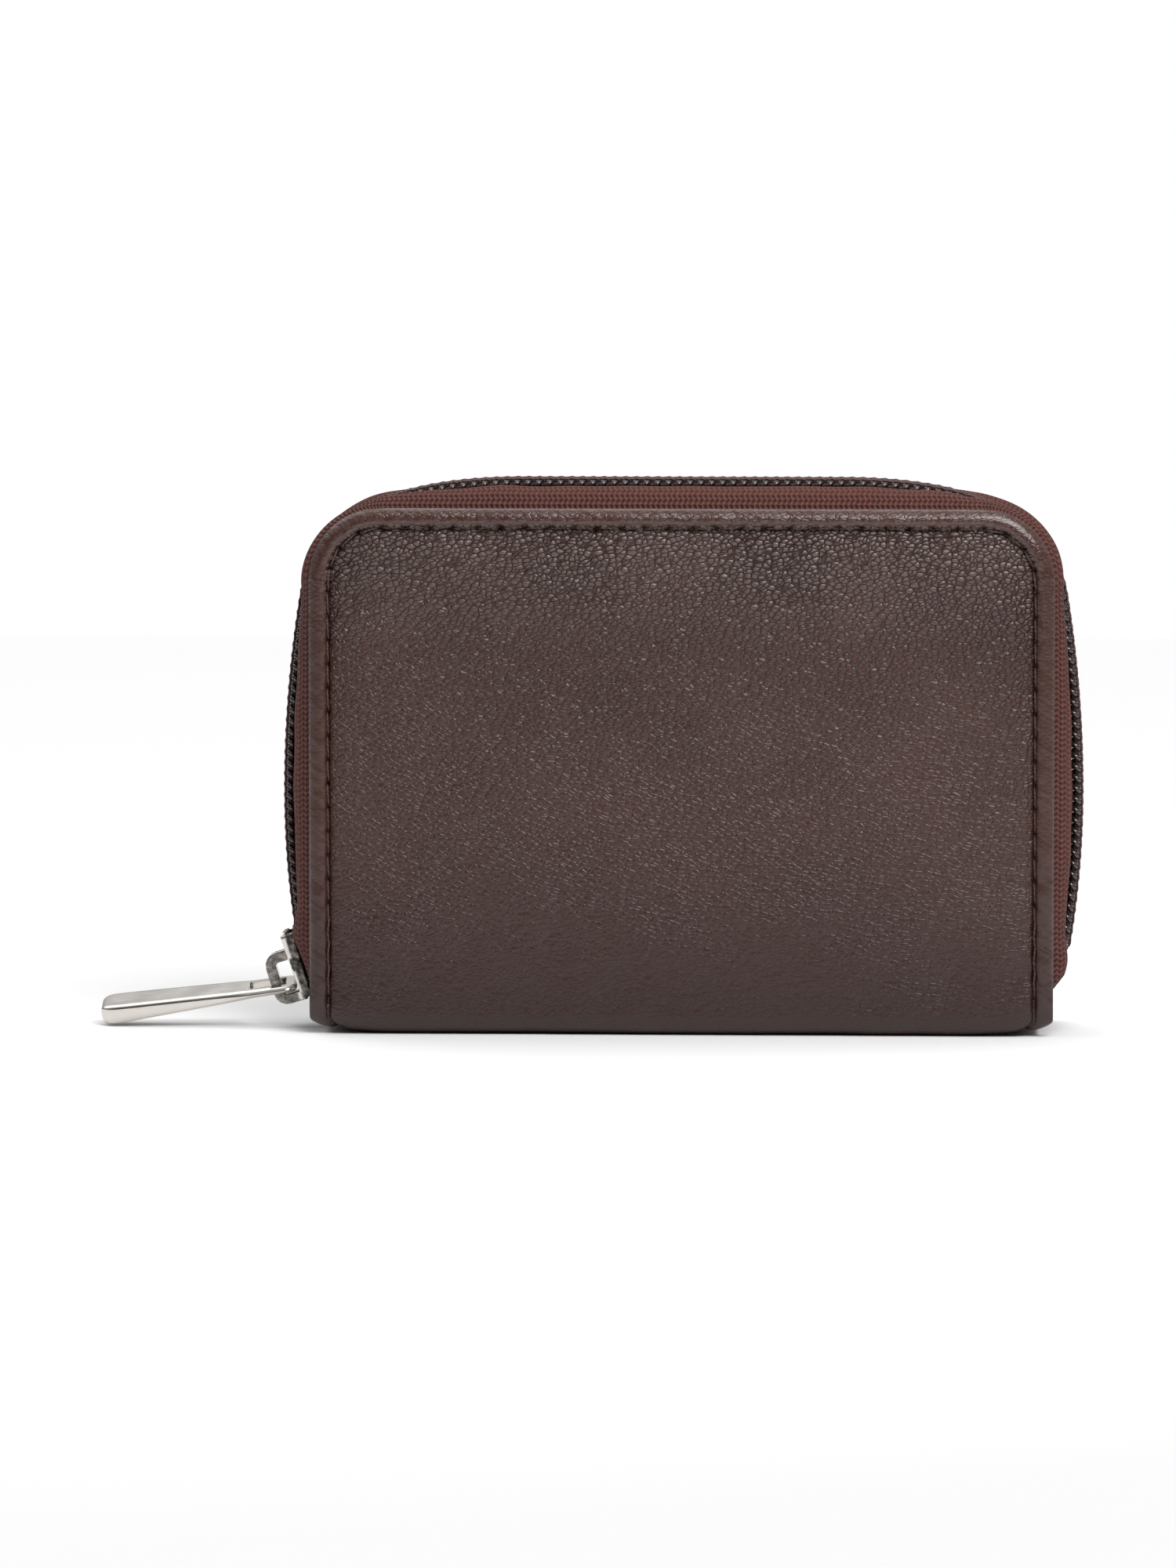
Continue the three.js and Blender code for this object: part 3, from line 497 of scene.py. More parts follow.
# ------------------------------------------------------------------ leather that wraps the spine
def fold_path(s, depth, floor, radius):
    """Place and outward direction in (y, z) at a length s along a sheet that lies flat under the
    pouch from its middle, turns up round a corner and stands at y = -depth."""
    flat = depth - radius
    bend = radius * math.pi / 2
    angle = np.clip((s - flat) / radius, 0, math.pi / 2)
    rise = np.maximum(s - flat - bend, 0)
    y = -np.minimum(s, flat) - radius * np.sin(angle)
    z = floor + radius - radius * np.cos(angle) + rise
    return y, z, -np.sin(angle), -np.cos(angle)


def seam_route():
    """Middle line in (x, z) of the edge seam: up the left side, over the top, down the right."""
    side, top = HALF_WIDTH - SEAM_INSET, PANEL_TOP - SEAM_INSET
    radius = PANEL_CORNER_R - SEAM_INSET
    corner = np.linspace(0, math.pi / 2, 24)
    left = np.stack([-side + radius - radius * np.cos(corner), top - radius + radius * np.sin(corner)], 1)
    right = left[::-1] * (-1, 1)
    return np.concatenate([[[-side, SEAM_BOTTOM]], left, right, [[side, SEAM_BOTTOM]]])


def seam_holes():
    _, length = resample(seam_route(), 2)
    return resample(seam_route(), round(length / STITCH_PITCH) + 1)[0]


def edge_distance(x, z, half, top, radius):
    """Distance in from a panel's free edge, with round top corners."""
    straight = np.minimum(half - np.abs(x), top - z)
    cx, cz = np.abs(x) - (half - radius), z - (top - radius)
    round_part = radius - np.hypot(cx, cz)
    return np.where((cx > 0) & (cz > 0), round_part, straight)


def edge_steps(fine):
    """Distances in from an edge at which a sheet has points, close together about the seam."""
    if not fine:
        return np.array([0.0, 0.15, 0.4, 1.0, 2.5, 4.5, 6.5])
    return np.concatenate([np.arange(0, 1.6, 0.23), np.arange(1.6, 4.4, 0.2), np.arange(4.4, 6.8, 0.35)])


def wrap_sheet(side, depth, floor, radius, half, top, corner_r, foot_r, step, profile):
    """Closed sheet from the spine's middle up one cover. profile(x, s, z, d) gives how far the
    outer face lies in from the smooth path, how far the inner face does, and the material's facts."""
    flat, bend = depth - radius, radius * math.pi / 2
    length = flat + bend + top - floor - radius
    edge = edge_steps(step < 1)
    body = length - edge[-1] - step
    s = np.concatenate([
        np.linspace(0, flat, 12, endpoint=False),
        np.linspace(flat, flat + bend, 14, endpoint=False),
        np.linspace(flat + bend, body, int((body - flat - bend) / step)),
        length - edge[::-1],
    ])
    middle = np.linspace(0, half - edge[-1] - step, int((half - edge[-1]) / step))
    across = np.concatenate([middle, half - edge[::-1]]) / half
    u = np.concatenate([-across[:0:-1], across])
    y, z, ny, nz = fold_path(s, depth, floor, radius)
    foot = np.clip((floor + foot_r - z) / foot_r, 0, 1)
    reach = half - foot_r + foot_r * np.sqrt(1 - 0.92 * foot**2)
    high = np.clip(z - (top - corner_r), 0, corner_r)
    reach = np.where(high > 0, half - corner_r + np.sqrt(corner_r**2 - high**2), reach)
    x = u[None, :] * reach[:, None]
    grid_s, grid_z = np.broadcast_to(s[:, None], x.shape), np.broadcast_to(z[:, None], x.shape)
    from_side = reach[:, None] - np.abs(x)
    d = np.where(grid_z > top - corner_r - 3, edge_distance(x, grid_z, half, top, corner_r), from_side)
    d = np.maximum(d, 0)
    drop, inner, facts = profile(x, grid_s, grid_z, d)
    layers = []
    for inward in (drop, inner):
        py = y[:, None] - ny[:, None] * inward
        pz = z[:, None] - nz[:, None] * inward
        layers.append(np.stack([x, py * -side, pz], -1))
    facts["flat"] = np.stack([x, grid_s, np.full_like(x, 3.7 * side)], -1)
    return sheet_solid(layers[0], layers[1], facts)


def coarse_steps(count, every):
    """Every few numbers up to count, with both ends."""
    return np.unique(np.append(np.arange(0, count, every), count - 1))


def sheet_solid(outer, inner, facts, every=4):
    """Closed solid between two faces over one grid. The inner face keeps one row and column in a
    few, since nothing on it is small."""
    rows, cols = outer.shape[:2]
    row_pick, col_pick = coarse_steps(rows, every), coarse_steps(cols, every)
    pick = np.ix_(row_pick, col_pick)
    first = rows * cols
    fine = np.arange(first).reshape(rows, cols)
    coarse = first + np.arange(len(row_pick) * len(col_pick)).reshape(len(row_pick), len(col_pick))
    points = np.concatenate([outer.reshape(-1, 3), inner[pick].reshape(-1, 3)])
    faces = grid_quads(rows, cols).tolist()
    faces += grid_quads(len(row_pick), len(col_pick), first=first, flip=True).tolist()

    def strip(fine_line, coarse_line, picked, turned):
        for k in range(len(picked) - 1):
            run = list(fine_line[picked[k]:picked[k + 1] + 1])
            face = run[::-1] + [coarse_line[k], coarse_line[k + 1]]
            faces.append(face[::-1] if turned else face)

    strip(fine[0], coarse[0], col_pick, False)
    strip(fine[-1], coarse[-1], col_pick, True)
    strip(fine[:, 0], coarse[:, 0], row_pick, True)
    strip(fine[:, -1], coarse[:, -1], row_pick, False)
    joined_facts = {}
    for key, value in facts.items():
        tail = value[pick]
        shape = (-1, 3) if value.ndim == 3 else (-1,)
        joined_facts[key] = np.concatenate([value.reshape(shape), tail.reshape(shape)])
    return points, faces, joined_facts


def along_seam(x, z, near):
    """Length along the seam's route of the place nearest to each point where near is true."""
    route, length = resample(seam_route(), 1600)
    t = np.full(x.shape, -99.0)
    spots = np.stack([x[near], z[near]], 1)
    found = np.empty(len(spots))
    for first in range(0, len(spots), 4000):
        block = spots[first:first + 4000]
        gap = ((block[:, None] - route[None]) ** 2).sum(-1)
        found[first:first + 4000] = gap.argmin(1) * length / (len(route) - 1)
    t[near] = found
    return t


def leather_profile(side):
    """Cover leather: a rolled smooth rim, a seam drawn into a channel with a needle hole at each
    stitch's end, and a padded panel that rises from the seam into a soft crown."""
    _, length = resample(seam_route(), 2)
    pitch = length / round(length / STITCH_PITCH)

    def profile(x, s, z, d):
        past = np.maximum(d - SEAM_INSET, 0)
        near_top = smoothstep(45, 66, z)
        panel = 0.06 + 0.36 * np.exp(-past / 0.8) + (0.42 + 0.38 * near_top) * np.exp(-past / 4.2)
        panel = panel + 0.24 * np.exp(-past / 13)
        across_rim = np.clip(d / SEAM_INSET, 0, 1)
        up_cover = smoothstep(2.0, 9.0, z)
        turn = (0.45 + 0.55 * up_cover) * np.maximum(1 - across_rim / 0.62, 0) ** 2.2
        roll = 0.10 + turn + 0.88 * smoothstep(0.66, 1.3, across_rim)
        base_panel = 0.06 + 0.64 * np.exp(-past / 0.9)
        drop = np.where(d < SEAM_INSET, roll, panel * up_cover + base_panel * (1 - up_cover))
        groove = 0.22 * np.exp(-(((d - SEAM_INSET) / 0.28) ** 2))
        t = along_seam(x, z, (np.abs(d - SEAM_INSET) < 1.3) & (z > SEAM_BOTTOM - 1))
        from_hole = np.abs((t + pitch / 2) % pitch - pitch / 2)
        from_seam = np.abs(d - SEAM_INSET)
        hole = np.exp(-((from_hole / 0.5) ** 4) - (from_seam / 0.19) ** 2) * (t > -1)
        pucker = 0.12 * np.exp(-((from_hole / 0.9) ** 2) - (from_seam / 0.8) ** 2) * (t > -1)
        at_foot = smoothstep(5.0, 0.5, z)
        foot_lift = (0.4 * smoothstep(SEAM_INSET + 2.4, 1.4, d) + 0.3 * smoothstep(12, 2, d)) * at_foot
        calm = smoothstep(2.8, 12, d)
        slack = 0.14 * waves(x, s, 38, 6, 3 + side) * calm + 0.05 * waves(x, s, 11, 8, 9 + side) * calm
        drop = np.maximum(drop + groove + pucker + 0.6 * hole + foot_lift + slack, 0.02)
        turned = smoothstep(RIM_WIDTH + 0.8, RIM_WIDTH, d) * up_cover
        inner = LEATHER + (RIM_THICKNESS - LEATHER) * turned - 0.25 * np.maximum(1 - d / 0.3, 0)
        inner = np.maximum(inner, drop + 0.3)
        smooth_rim = smoothstep(SEAM_INSET + 0.1, SEAM_INSET - 0.5, d)
        return drop, inner, {"rim": smooth_rim, "hole": hole ** 1.5}

    return profile


def build_cover_leather(side):
    points, faces, facts = wrap_sheet(
        side, HALF_DEPTH, 0.0, SPINE_CORNER_R, HALF_WIDTH, PANEL_TOP, PANEL_CORNER_R, FOOT_CORNER_R,
        0.45, leather_profile(side),
    )
    half = HALF_NAME[side]
    leather = make_mesh(f"{half}_leather_wrap", points, faces, LEATHER_LOOK, facts)
    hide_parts(f"{half}_cover_leather", "spine_leather")
    bend_at_spine(leather)
    return leather


def bend_at_spine(piece):
    """Bakes the piece's placement into its mesh. The mesh already lies along the spine under the pouch and up
    its cover above the corner.
    """
    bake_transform(piece)


def build_lining(side):
    half = HALF_NAME[side]
    low, high = box_mm(f"{half}_lining")
    spine_low, _ = box_mm("spine_lining")
    thickness = high[1] - low[1]
    depth = max(abs(low[1]), abs(high[1]))

    def profile(x, s, z, d):
        drop = 0.05 + 0.2 * np.maximum(1 - d / 0.4, 0) ** 2 + 0 * x
        inner = thickness - 0.06 - 0.15 * np.maximum(1 - d / 0.4, 0) ** 2
        inner = inner + 0.08 * waves(x, s, 26, 5, 21 + side) * smoothstep(0, 6, d)
        return drop, inner, {}

    points, faces, facts = wrap_sheet(
        side, depth, spine_low[2], 2.2, high[0], high[2], PANEL_CORNER_R - 1, 1.0, 1.5, profile,
    )
    lining = make_mesh(f"{half}_lining_wrap", points, faces, LINING_LOOK, facts)
    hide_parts(f"{half}_lining", "spine_lining")
    bend_at_spine(lining)
    return lining


# ------------------------------------------------------------------ stitches
def stitch(a, b, face_y, side, slant=0.12, lift=0.16, dive=0.5, radius=THREAD_R):
    """One stitch between needle holes a and b, in (x, z), over a face at y = -face_y."""
    a, b = np.asarray(a, float), np.asarray(b, float)
    along = (b - a) / np.linalg.norm(b - a)
    across = np.array([-along[1], along[0]])
    t = np.linspace(0, 1, 11)
    plan = a + (b - a) * (0.06 + 0.88 * t)[:, None] + across * (slant * (t - 0.5) * 2)[:, None]
    arch = np.sin(math.pi * t) ** 0.55
    depth = face_y + lift * arch - dive * (1 - arch)
    path = np.stack([plan[:, 0], side * depth, plan[:, 1]], 1)
    return tube(path, radius * (0.8 + 0.2 * arch), 7, up=(0.01, 1, 0.013))


def build_edge_stitches(side):
    half = HALF_NAME[side]
    holes = seam_holes()
    face_y = HALF_DEPTH - 1.02
    parts = []
    for a, b in zip(holes[:-1], holes[1:]):
        parts.append(stitch(a, b, face_y, side, slant=0.05 + 0.06 * rng.random()))
    for ends in (holes[:4], holes[:-5:-1]):
        for a, b in zip(ends[:-1], ends[1:]):
            shift = (b - a) * 0.45
            parts.append(stitch(a + shift, b + shift, face_y + 0.14, side, slant=-0.14))
    points, faces = joined(parts)
    seam = make_mesh(f"{half}_edge_stitches", points, faces, SEAM_LOOK)
    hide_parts(f"{half}_edge_stitching")
    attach(seam, f"{half}_half")


# ------------------------------------------------------------------ pockets inside
def pocket_panel(side, node, dip):
    """Panel of a pocket: a soft sheet with a folded, sewn mouth that sags a little in its middle."""
    low, high = box_mm(node)
    half_width, bottom, top = high[0], low[2], high[2]
    out_y, in_y = sorted((abs(low[1]), abs(high[1])), reverse=True)
    edge = 2.6
    v = np.concatenate([
        np.linspace(bottom, top - edge, 30, endpoint=False),
        top - edge * np.cos(np.linspace(0, math.pi / 2, 12)),
    ])
    across = np.concatenate([
        np.linspace(0, half_width - 1.5, 40),
        half_width - 1.5 * np.cos(np.linspace(0.3, math.pi / 2, 6)),
    ])
    u = np.concatenate([-across[:0:-1], across])
    x, z = np.meshgrid(u, v)
    share = (z - bottom) / (top - bottom)
    z = z - dip * np.cos(x / half_width * math.pi / 2) ** 2 * share**3
    from_side = half_width - np.abs(x)
    from_top = (top - dip * np.cos(x / half_width * math.pi / 2) ** 2) - z
    fold = 0.16 * smoothstep(edge, edge - 0.5, from_top)
    round_edge = 0.22 * (np.maximum(1 - from_top / 0.35, 0) ** 2 + np.maximum(1 - from_side / 0.35, 0) ** 2)
    slack = 0.1 * waves(x, z, 22, 5, 40 + int(top)) * smoothstep(0, 8, from_side)
    crown = 0.12 * smoothstep(0, 10, from_side) * smoothstep(0, 8, z - bottom)
    inner_face = in_y + 0.12 - fold - slack * 0.5 - crown * 0.6 + round_edge
    outer_face = np.full_like(x, out_y - 0.05) - round_edge * 0.5
    outer = np.stack([x, side * outer_face, z], -1)
    inner = np.stack([x, side * inner_face, z], -1)
    facts = {"flat": np.stack([x, z, np.full_like(x, out_y * 9)], -1)}
    points, faces, facts = sheet_solid(inner, outer, facts)
    panel = make_mesh(f"{node}_panel", points, faces, POCKET_LOOK, facts)
    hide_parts(node)
    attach(panel, f"{HALF_NAME[side]}_half")
    return half_width, bottom, top, in_y


def build_pockets(side):
    half = HALF_NAME[side]
    parts = []
    for node, dip in [(f"{half}_slip_pocket", 1.4)] + [(f"{half}_card_pocket_{i}", 0.0) for i in (1, 2, 3)]:
        half_width, bottom, top, in_y = pocket_panel(side, node, dip)
        count = round((2 * half_width - 3) / 2.6)
        x = np.linspace(-half_width + 1.5, half_width - 1.5, count + 1)
        z = top - 1.9 - dip * np.cos(x / half_width * math.pi / 2) ** 2
        mouth = np.stack([x, z], 1)
        for a, b in zip(mouth[:-1], mouth[1:]):
            parts.append(pocket_stitch(a, b, in_y, side))
    sides_top, rows = top, 12
    for x in (-half_width + 1.2, half_width - 1.2):
        heights = np.linspace(bottom + 1.2, sides_top - 3.4, rows)
        for a, b in zip(heights[:-1], heights[1:]):
            parts.append(pocket_stitch((x, a), (x, b), in_y, side))
    floor_x = np.linspace(-half_width + 1.2, half_width - 1.2, 36)
    for a, b in zip(floor_x[:-1], floor_x[1:]):
        parts.append(pocket_stitch((a, bottom + 1.2), (b, bottom + 1.2), in_y, side))
    points, faces = joined(parts)
    thread = make_mesh(f"{half}_pocket_stitches", points, faces, SEAM_LOOK)
    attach(thread, f"{half}_half")


def pocket_stitch(a, b, in_y, side):
    """Stitch on a pocket's inner face, which looks towards the pouch's middle."""
    return stitch(a, b, in_y - 0.02, side, slant=0.06, lift=-0.16, dive=-0.22, radius=0.14)


# ------------------------------------------------------------------ zipper
def bow_radius(z):
    return np.where(np.asarray(z) > CHAIN_BOW_Z, CHAIN_BOW_TOP_R, CHAIN_BOW_R)


def chain_side_x(z):
    return -(CHAIN_SIDE - bow_radius(z) + np.sqrt(bow_radius(z) ** 2 - (z - CHAIN_BOW_Z) ** 2))


def chain_corner(share):
    """Top left corner of the chain's middle line and its direction, as a cubic curve."""
    start = np.array([chain_side_x(CHAIN_ARC_TOP), CHAIN_ARC_TOP])
    end = np.array([-CHAIN_CORNER_X, CHAIN_TOP])
    lean = math.asin((CHAIN_ARC_TOP - CHAIN_BOW_Z) / CHAIN_BOW_TOP_R)
    rise, reach = (end[1] - start[1]) * CHAIN_CORNER_RISE, (end[0] - start[0]) * CHAIN_CORNER_REACH
    first = start + rise * np.array([math.sin(lean), math.cos(lean)])
    second = end - np.array([reach, 0])
    t = np.asarray(share)[:, None]
    point = (1 - t) ** 3 * start + 3 * (1 - t) ** 2 * t * first + 3 * (1 - t) * t**2 * second + t**3 * end
    slope = (1 - t) ** 2 * (first - start) + 2 * (1 - t) * t * (second - first) + t**2 * (end - second)
    return point, slope / np.linalg.norm(slope, axis=1)[:, None]


def chain_half(bottom):
    """The chain's middle line from its left end at a height up to the middle of the top, with its
    outward directions."""
    z = np.append(np.arange(bottom, CHAIN_ARC_TOP - 0.2, 0.4), CHAIN_ARC_TOP)
    lean = np.arcsin((z - CHAIN_BOW_Z) / bow_radius(z))
    side, side_out = np.stack([chain_side_x(z), z], 1), np.stack([-np.cos(lean), np.sin(lean)], 1)
    corner, slope = chain_corner(np.linspace(0, 1, 160)[1:])
    x = np.linspace(-CHAIN_CORNER_X, 0, 56)[1:]
    top = np.stack([x, CHAIN_TOP + 0 * x], 1)
    corner_out = np.stack([-slope[:, 1], slope[:, 0]], 1)
    outward = np.concatenate([side_out, corner_out, np.tile([0.0, 1.0], (len(x), 1))])
    return np.concatenate([side, corner, top]), outward


def zipper_stations(bottom):
    """Stations from the left end over the top to the right end: rows of edge x, z, edge outward
    x, z, chain x, z, chain outward x, z, and the tape's ridge."""
    line, outward = chain_half(bottom)
    z = np.arange(bottom, CHAIN_ARC_TOP, 0.8)
    share = (z - CHAIN_BOTTOM) / (CHAIN_ARC_TOP - CHAIN_BOTTOM)
    edge_z = CHAIN_BOTTOM + share * (PANEL_TOP - PANEL_CORNER_R - CHAIN_BOTTOM)
    left = [np.full_like(z, -HALF_WIDTH), edge_z, -np.ones_like(z), 0 * z]
    rise = np.interp(z, line[:, 1], np.arange(len(line)))
    level = np.full_like(z, TAPE_SIDE_RIDGE)

    angle = np.linspace(0, math.pi / 2, 34)
    out = np.stack([-np.cos(angle), np.sin(angle)], 1)
    edge = np.array([-HALF_WIDTH + PANEL_CORNER_R, PANEL_TOP - PANEL_CORNER_R]) + PANEL_CORNER_R * out
    first = np.interp(CHAIN_ARC_TOP, line[:, 1], np.arange(len(line)))
    last = np.interp(edge[-1, 0], line[first.astype(int):, 0], np.arange(first.astype(int), len(line)))
    turn = angle / angle[-1]
    base = TAPE_SIDE_RIDGE + (TAPE_TOP_RIDGE - TAPE_SIDE_RIDGE) * turn
    arch = base + (TAPE_CORNER_RIDGE - base) * np.sin(turn * math.pi) ** 0.8

    x = np.linspace(edge[-1, 0], 0, 52)[1:]
    top_at = np.interp(x, line[int(last):, 0], np.arange(int(last), len(line)))
    place = np.concatenate([rise, first + (last - first) * turn, top_at])
    columns = [
        np.concatenate([left[0], edge[:, 0], x]),
        np.concatenate([left[1], edge[:, 1], np.full_like(x, PANEL_TOP)]),
        np.concatenate([left[2], out[:, 0], 0 * x]),
        np.concatenate([left[3], out[:, 1], np.ones_like(x)]),
    ]
    steps = np.arange(len(line))
    columns += [np.interp(place, steps, line[:, 0]), np.interp(place, steps, line[:, 1])]
    columns += [np.interp(place, steps, outward[:, 0]), np.interp(place, steps, outward[:, 1])]
    columns.append(np.concatenate([level, arch, np.full_like(x, TAPE_TOP_RIDGE)]))
    half = np.stack(columns, 1)
    return np.concatenate([half, half[-2::-1] * np.array([-1, 1] * 4 + [1])])


def build_tape(side):
    """Woven tape from its sewn margin under the leather's rim, over a soft ridge, to the coil."""
    half = HALF_NAME[side]
    rows = zipper_stations(TAPE_BOTTOM)
    edge, edge_out, chain, chain_out, ridge = np.split(rows, (2, 4, 6, 8), axis=1)
    left_side = (chain[:, 0] < 0) & (side == FRONT)
    parked = smoothstep(PARKED_TOP + 0.6, PARKED_TOP - 0.6, chain[:, 1]) * left_side
    apart = 0.75 - 0.6 * smoothstep(-44, -36, chain[:, 0])
    inner_edge = apart + (PARKED_TAPE_Y - 0.75) * parked
    under = COIL_HALF_THICKNESS + COIL_GAP + TAPE_THICKNESS / 2
    bedded = PARKED_TAPE_RISE * smoothstep(PARKED_TOP + 3, PARKED_TOP - 2, chain[:, 1]) * left_side
    leave, arrive = edge - 0.5 * edge_out, chain + (bedded - under)[:, None] * chain_out
    along = np.concatenate([[0], np.cumsum(np.linalg.norm(np.diff(chain, axis=0), axis=1))])
    wobble = 0.1 * waves(along, 0 * along, 11, 5, 60 + side)
    plans = [edge - TAPE_SEWN * edge_out]
    depths = [np.full(len(rows), TAPE_Y)]
    coil_side = COIL_OUTER_Y + 0.3
    sinks = (chain[:, 1] - PARKED_TAPE_LOW) / (PARKED_TAPE_HIGH - PARKED_TAPE_LOW)
    above_end = np.clip((chain[:, 1] - TAPE_BOTTOM) / 1.4, 0.12, 1)
    right_side = chain[:, 0] > 0
    swell = np.where(right_side, np.sqrt(above_end), 1.0)
    swell = np.where(left_side, np.clip(sinks, 0.05, 1), swell)[:, None]
    ridge = ridge + (0.7 * right_side * np.exp(-(((chain[:, 1] - 10.0) / 2.6) ** 2)))[:, None]
    for share in np.linspace(0, 1, 22):
        y = TAPE_Y + (inner_edge - TAPE_Y) * share
        across = np.clip((TAPE_Y - y) / (TAPE_Y - coil_side), 0, 1)[:, None]
        bulge = (ridge + wobble[:, None]) * np.sin(math.pi * across) ** 0.9
        plans.append(leave + ((arrive - leave) * across + edge_out * bulge) * swell)
        depths.append(y)
    plans, depths = np.stack(plans, 1), np.stack(depths, 1)
    out_step = np.einsum("ijk,ik->ij", np.gradient(plans, axis=1), edge_out)
    in_step = np.gradient(depths, axis=1)
    length = np.hypot(out_step, in_step)
    thick = TAPE_THICKNESS / 2
    faces_at = []
    for sign in (1, -1):
        plan = plans - sign * thick * (in_step / length)[..., None] * edge_out[:, None]
        y = depths + sign * thick * out_step / length
        faces_at.append(np.stack([plan[..., 0], side * y, plan[..., 1]], -1))
    ring = np.concatenate([faces_at[0], faces_at[1][:, ::-1]], 1)
    stations, around = ring.shape[:2]
    run = np.cumsum(length, axis=1)
    run = np.concatenate([run, run[:, ::-1]], 1)
    place = np.stack([np.broadcast_to(along[:, None], run.shape), run, np.zeros_like(run)], -1)
    faces = grid_quads(stations, around, wrap_cols=True).tolist()
    half_ring = around // 2
    for row in (0, stations - 1):
        for i in range(half_ring - 1):
            a, b = row * around + i, row * around + i + 1
            c, e = row * around + around - 2 - i, row * around + around - 1 - i
            faces.append([a, b, c, e] if row == 0 else [e, c, b, a])
    facts = {"flat": place.reshape(-1, 3)}
    tape = make_mesh(f"{half}_zipper_tape", ring.reshape(-1, 3), faces, TAPE_LOOK, facts)
    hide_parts(f"zipper_tape_{half}")
    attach(tape, f"{half}_half")


def chain_line(left_bottom, right_bottom, step):
    """Evenly stepped middle line of the chain: its points in (x, z), outward directions, lengths."""
    left, right = chain_half(left_bottom)[0], chain_half(right_bottom)[0]
    line = np.concatenate([left, right[-2::-1] * (-1, 1)])
    _, length = resample(line, 2)
    even, _ = resample(line, max(int(length / step), 2))
    slope = np.gradient(even, axis=0)
    slope /= np.linalg.norm(slope, axis=1)[:, None]
    out = np.stack([-slope[:, 1], slope[:, 0]], 1)
    return even, out, np.linspace(0, length, len(even))


def build_coil(side, left_bottom, right_bottom, whole_length):
    """One row of the chain: a flattened helix of nylon wire, its filler cord and sewing threads."""
    half = HALF_NAME[side]
    plan, out, along = chain_line(left_bottom, right_bottom, COIL_PITCH / 18)
    from_right = whole_length - (along[-1] - along)
    phase = math.tau * from_right / COIL_PITCH + (math.pi if side == BACK else 0)
    reach = (COIL_OUTER_Y + COIL_HEAD_Y) / 2 - COIL_WIRE_R
    centre_y = (COIL_OUTER_Y - COIL_HEAD_Y) / 2
    rise = COIL_HALF_THICKNESS - COIL_WIRE_R
    squared = 0.8
    swing, lift = np.cos(phase), np.sin(phase)
    y = centre_y + reach * np.sign(swing) * np.abs(swing) ** squared
    n = rise * np.sign(lift) * np.abs(lift) ** squared
    lean = 0.16 * COIL_PITCH * np.sin(phase)
    slope = np.stack([out[:, 1], -out[:, 0]], 1)
    points = plan + out * n[:, None] + slope * lean[:, None]
    wire = np.stack([points[:, 0], side * y, points[:, 1]], 1)
    coil_points, coil_faces = tube(wire, COIL_WIRE_R, 7, up=(0.013, 0.021, 1))
    coil = make_mesh(f"{half}_zipper_coil", coil_points, coil_faces, COIL_LOOK)
    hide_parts(f"zipper_coil_{half}")
    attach(coil, f"{half}_half")
    parts = []
    for offset_y, height, radius in ((1.75, 0.0, 0.3), (1.5, 0.78, 0.15), (2.25, 0.78, 0.15)):
        line, normal, length = plan[::6], out[::6], along[::6]
        hop = 0.07 * np.cos(math.tau * length / COIL_PITCH) if height else 0
        path = line + normal * (height + hop)[:, None] if height else line
        route = np.stack([path[:, 0], np.full(len(path), side * offset_y), path[:, 1]], 1)
        parts.append(tube(route, radius, 6))
    points, faces = joined(parts)
    threads = make_mesh(f"{half}_coil_cords", points, faces, COIL_THREAD_LOOK)
    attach(threads, f"{half}_half")


# ------------------------------------------------------------------ slider and pull
def cast_metal(node, name, body, voxel_mm, smooth_steps):
    """The CAD shape remade as a cast and tumbled piece: fine even mesh with softened edges."""
    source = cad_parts[node]
    piece = bpy.data.objects.new(name, source.data.copy())
    bpy.context.scene.collection.objects.link(piece)
    remesh = piece.modifiers.new("even", "REMESH")
    remesh.mode = "VOXEL"
    remesh.voxel_size = voxel_mm * MM
    soften = piece.modifiers.new("soften", "SMOOTH")
    soften.factor = 0.5
    soften.iterations = smooth_steps
    depsgraph = bpy.context.evaluated_depsgraph_get()
    final = bpy.data.meshes.new_from_object(piece.evaluated_get(depsgraph))
    piece.modifiers.clear()
    piece.data = final
    final.materials.clear()
    final.materials.append(NICKEL_LOOK)
    final.polygons.foreach_set("use_smooth", [True] * len(final.polygons))
    place = np.array([vertex.co for vertex in final.vertices]) / MM
    from_place = place - np.array([SLIDER_PLACE[0], 0, SLIDER_PLACE[1]])
    outward = -from_place[:, 0] * math.cos(SLIDER_TILT) - from_place[:, 2] * math.sin(SLIDER_TILT)
    under_plate = smoothstep(SLIDER_FACE - 0.35, SLIDER_FACE - 0.6, outward)
    beside_hook = smoothstep(SLIDER_FACE + 0.2, SLIDER_FACE + 0.7, outward) * facing_sideways(final)
    # painted shade: this mask darkens the nickel under the outer plate's face and on the hook's faces that look
    # along Y, and makes them rougher
    painted_shade_mask = np.maximum(under_plate, 0.85 * beside_hook).astype(np.float32)
    final.attributes.new("painted_shade_mask", "FLOAT", "POINT").data.foreach_set("value", painted_shade_mask)
    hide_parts(node)
    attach(piece, body)
    return piece


def facing_sideways(mesh):
    """1 where the surface faces along Y, 0 where it faces across it, for each vertex."""
    normals = np.empty(len(mesh.vertices) * 3)
    mesh.vertex_normals.foreach_get("vector", normals)
    return smoothstep(0.55, 0.85, np.abs(normals.reshape(-1, 3)[:, 1]))


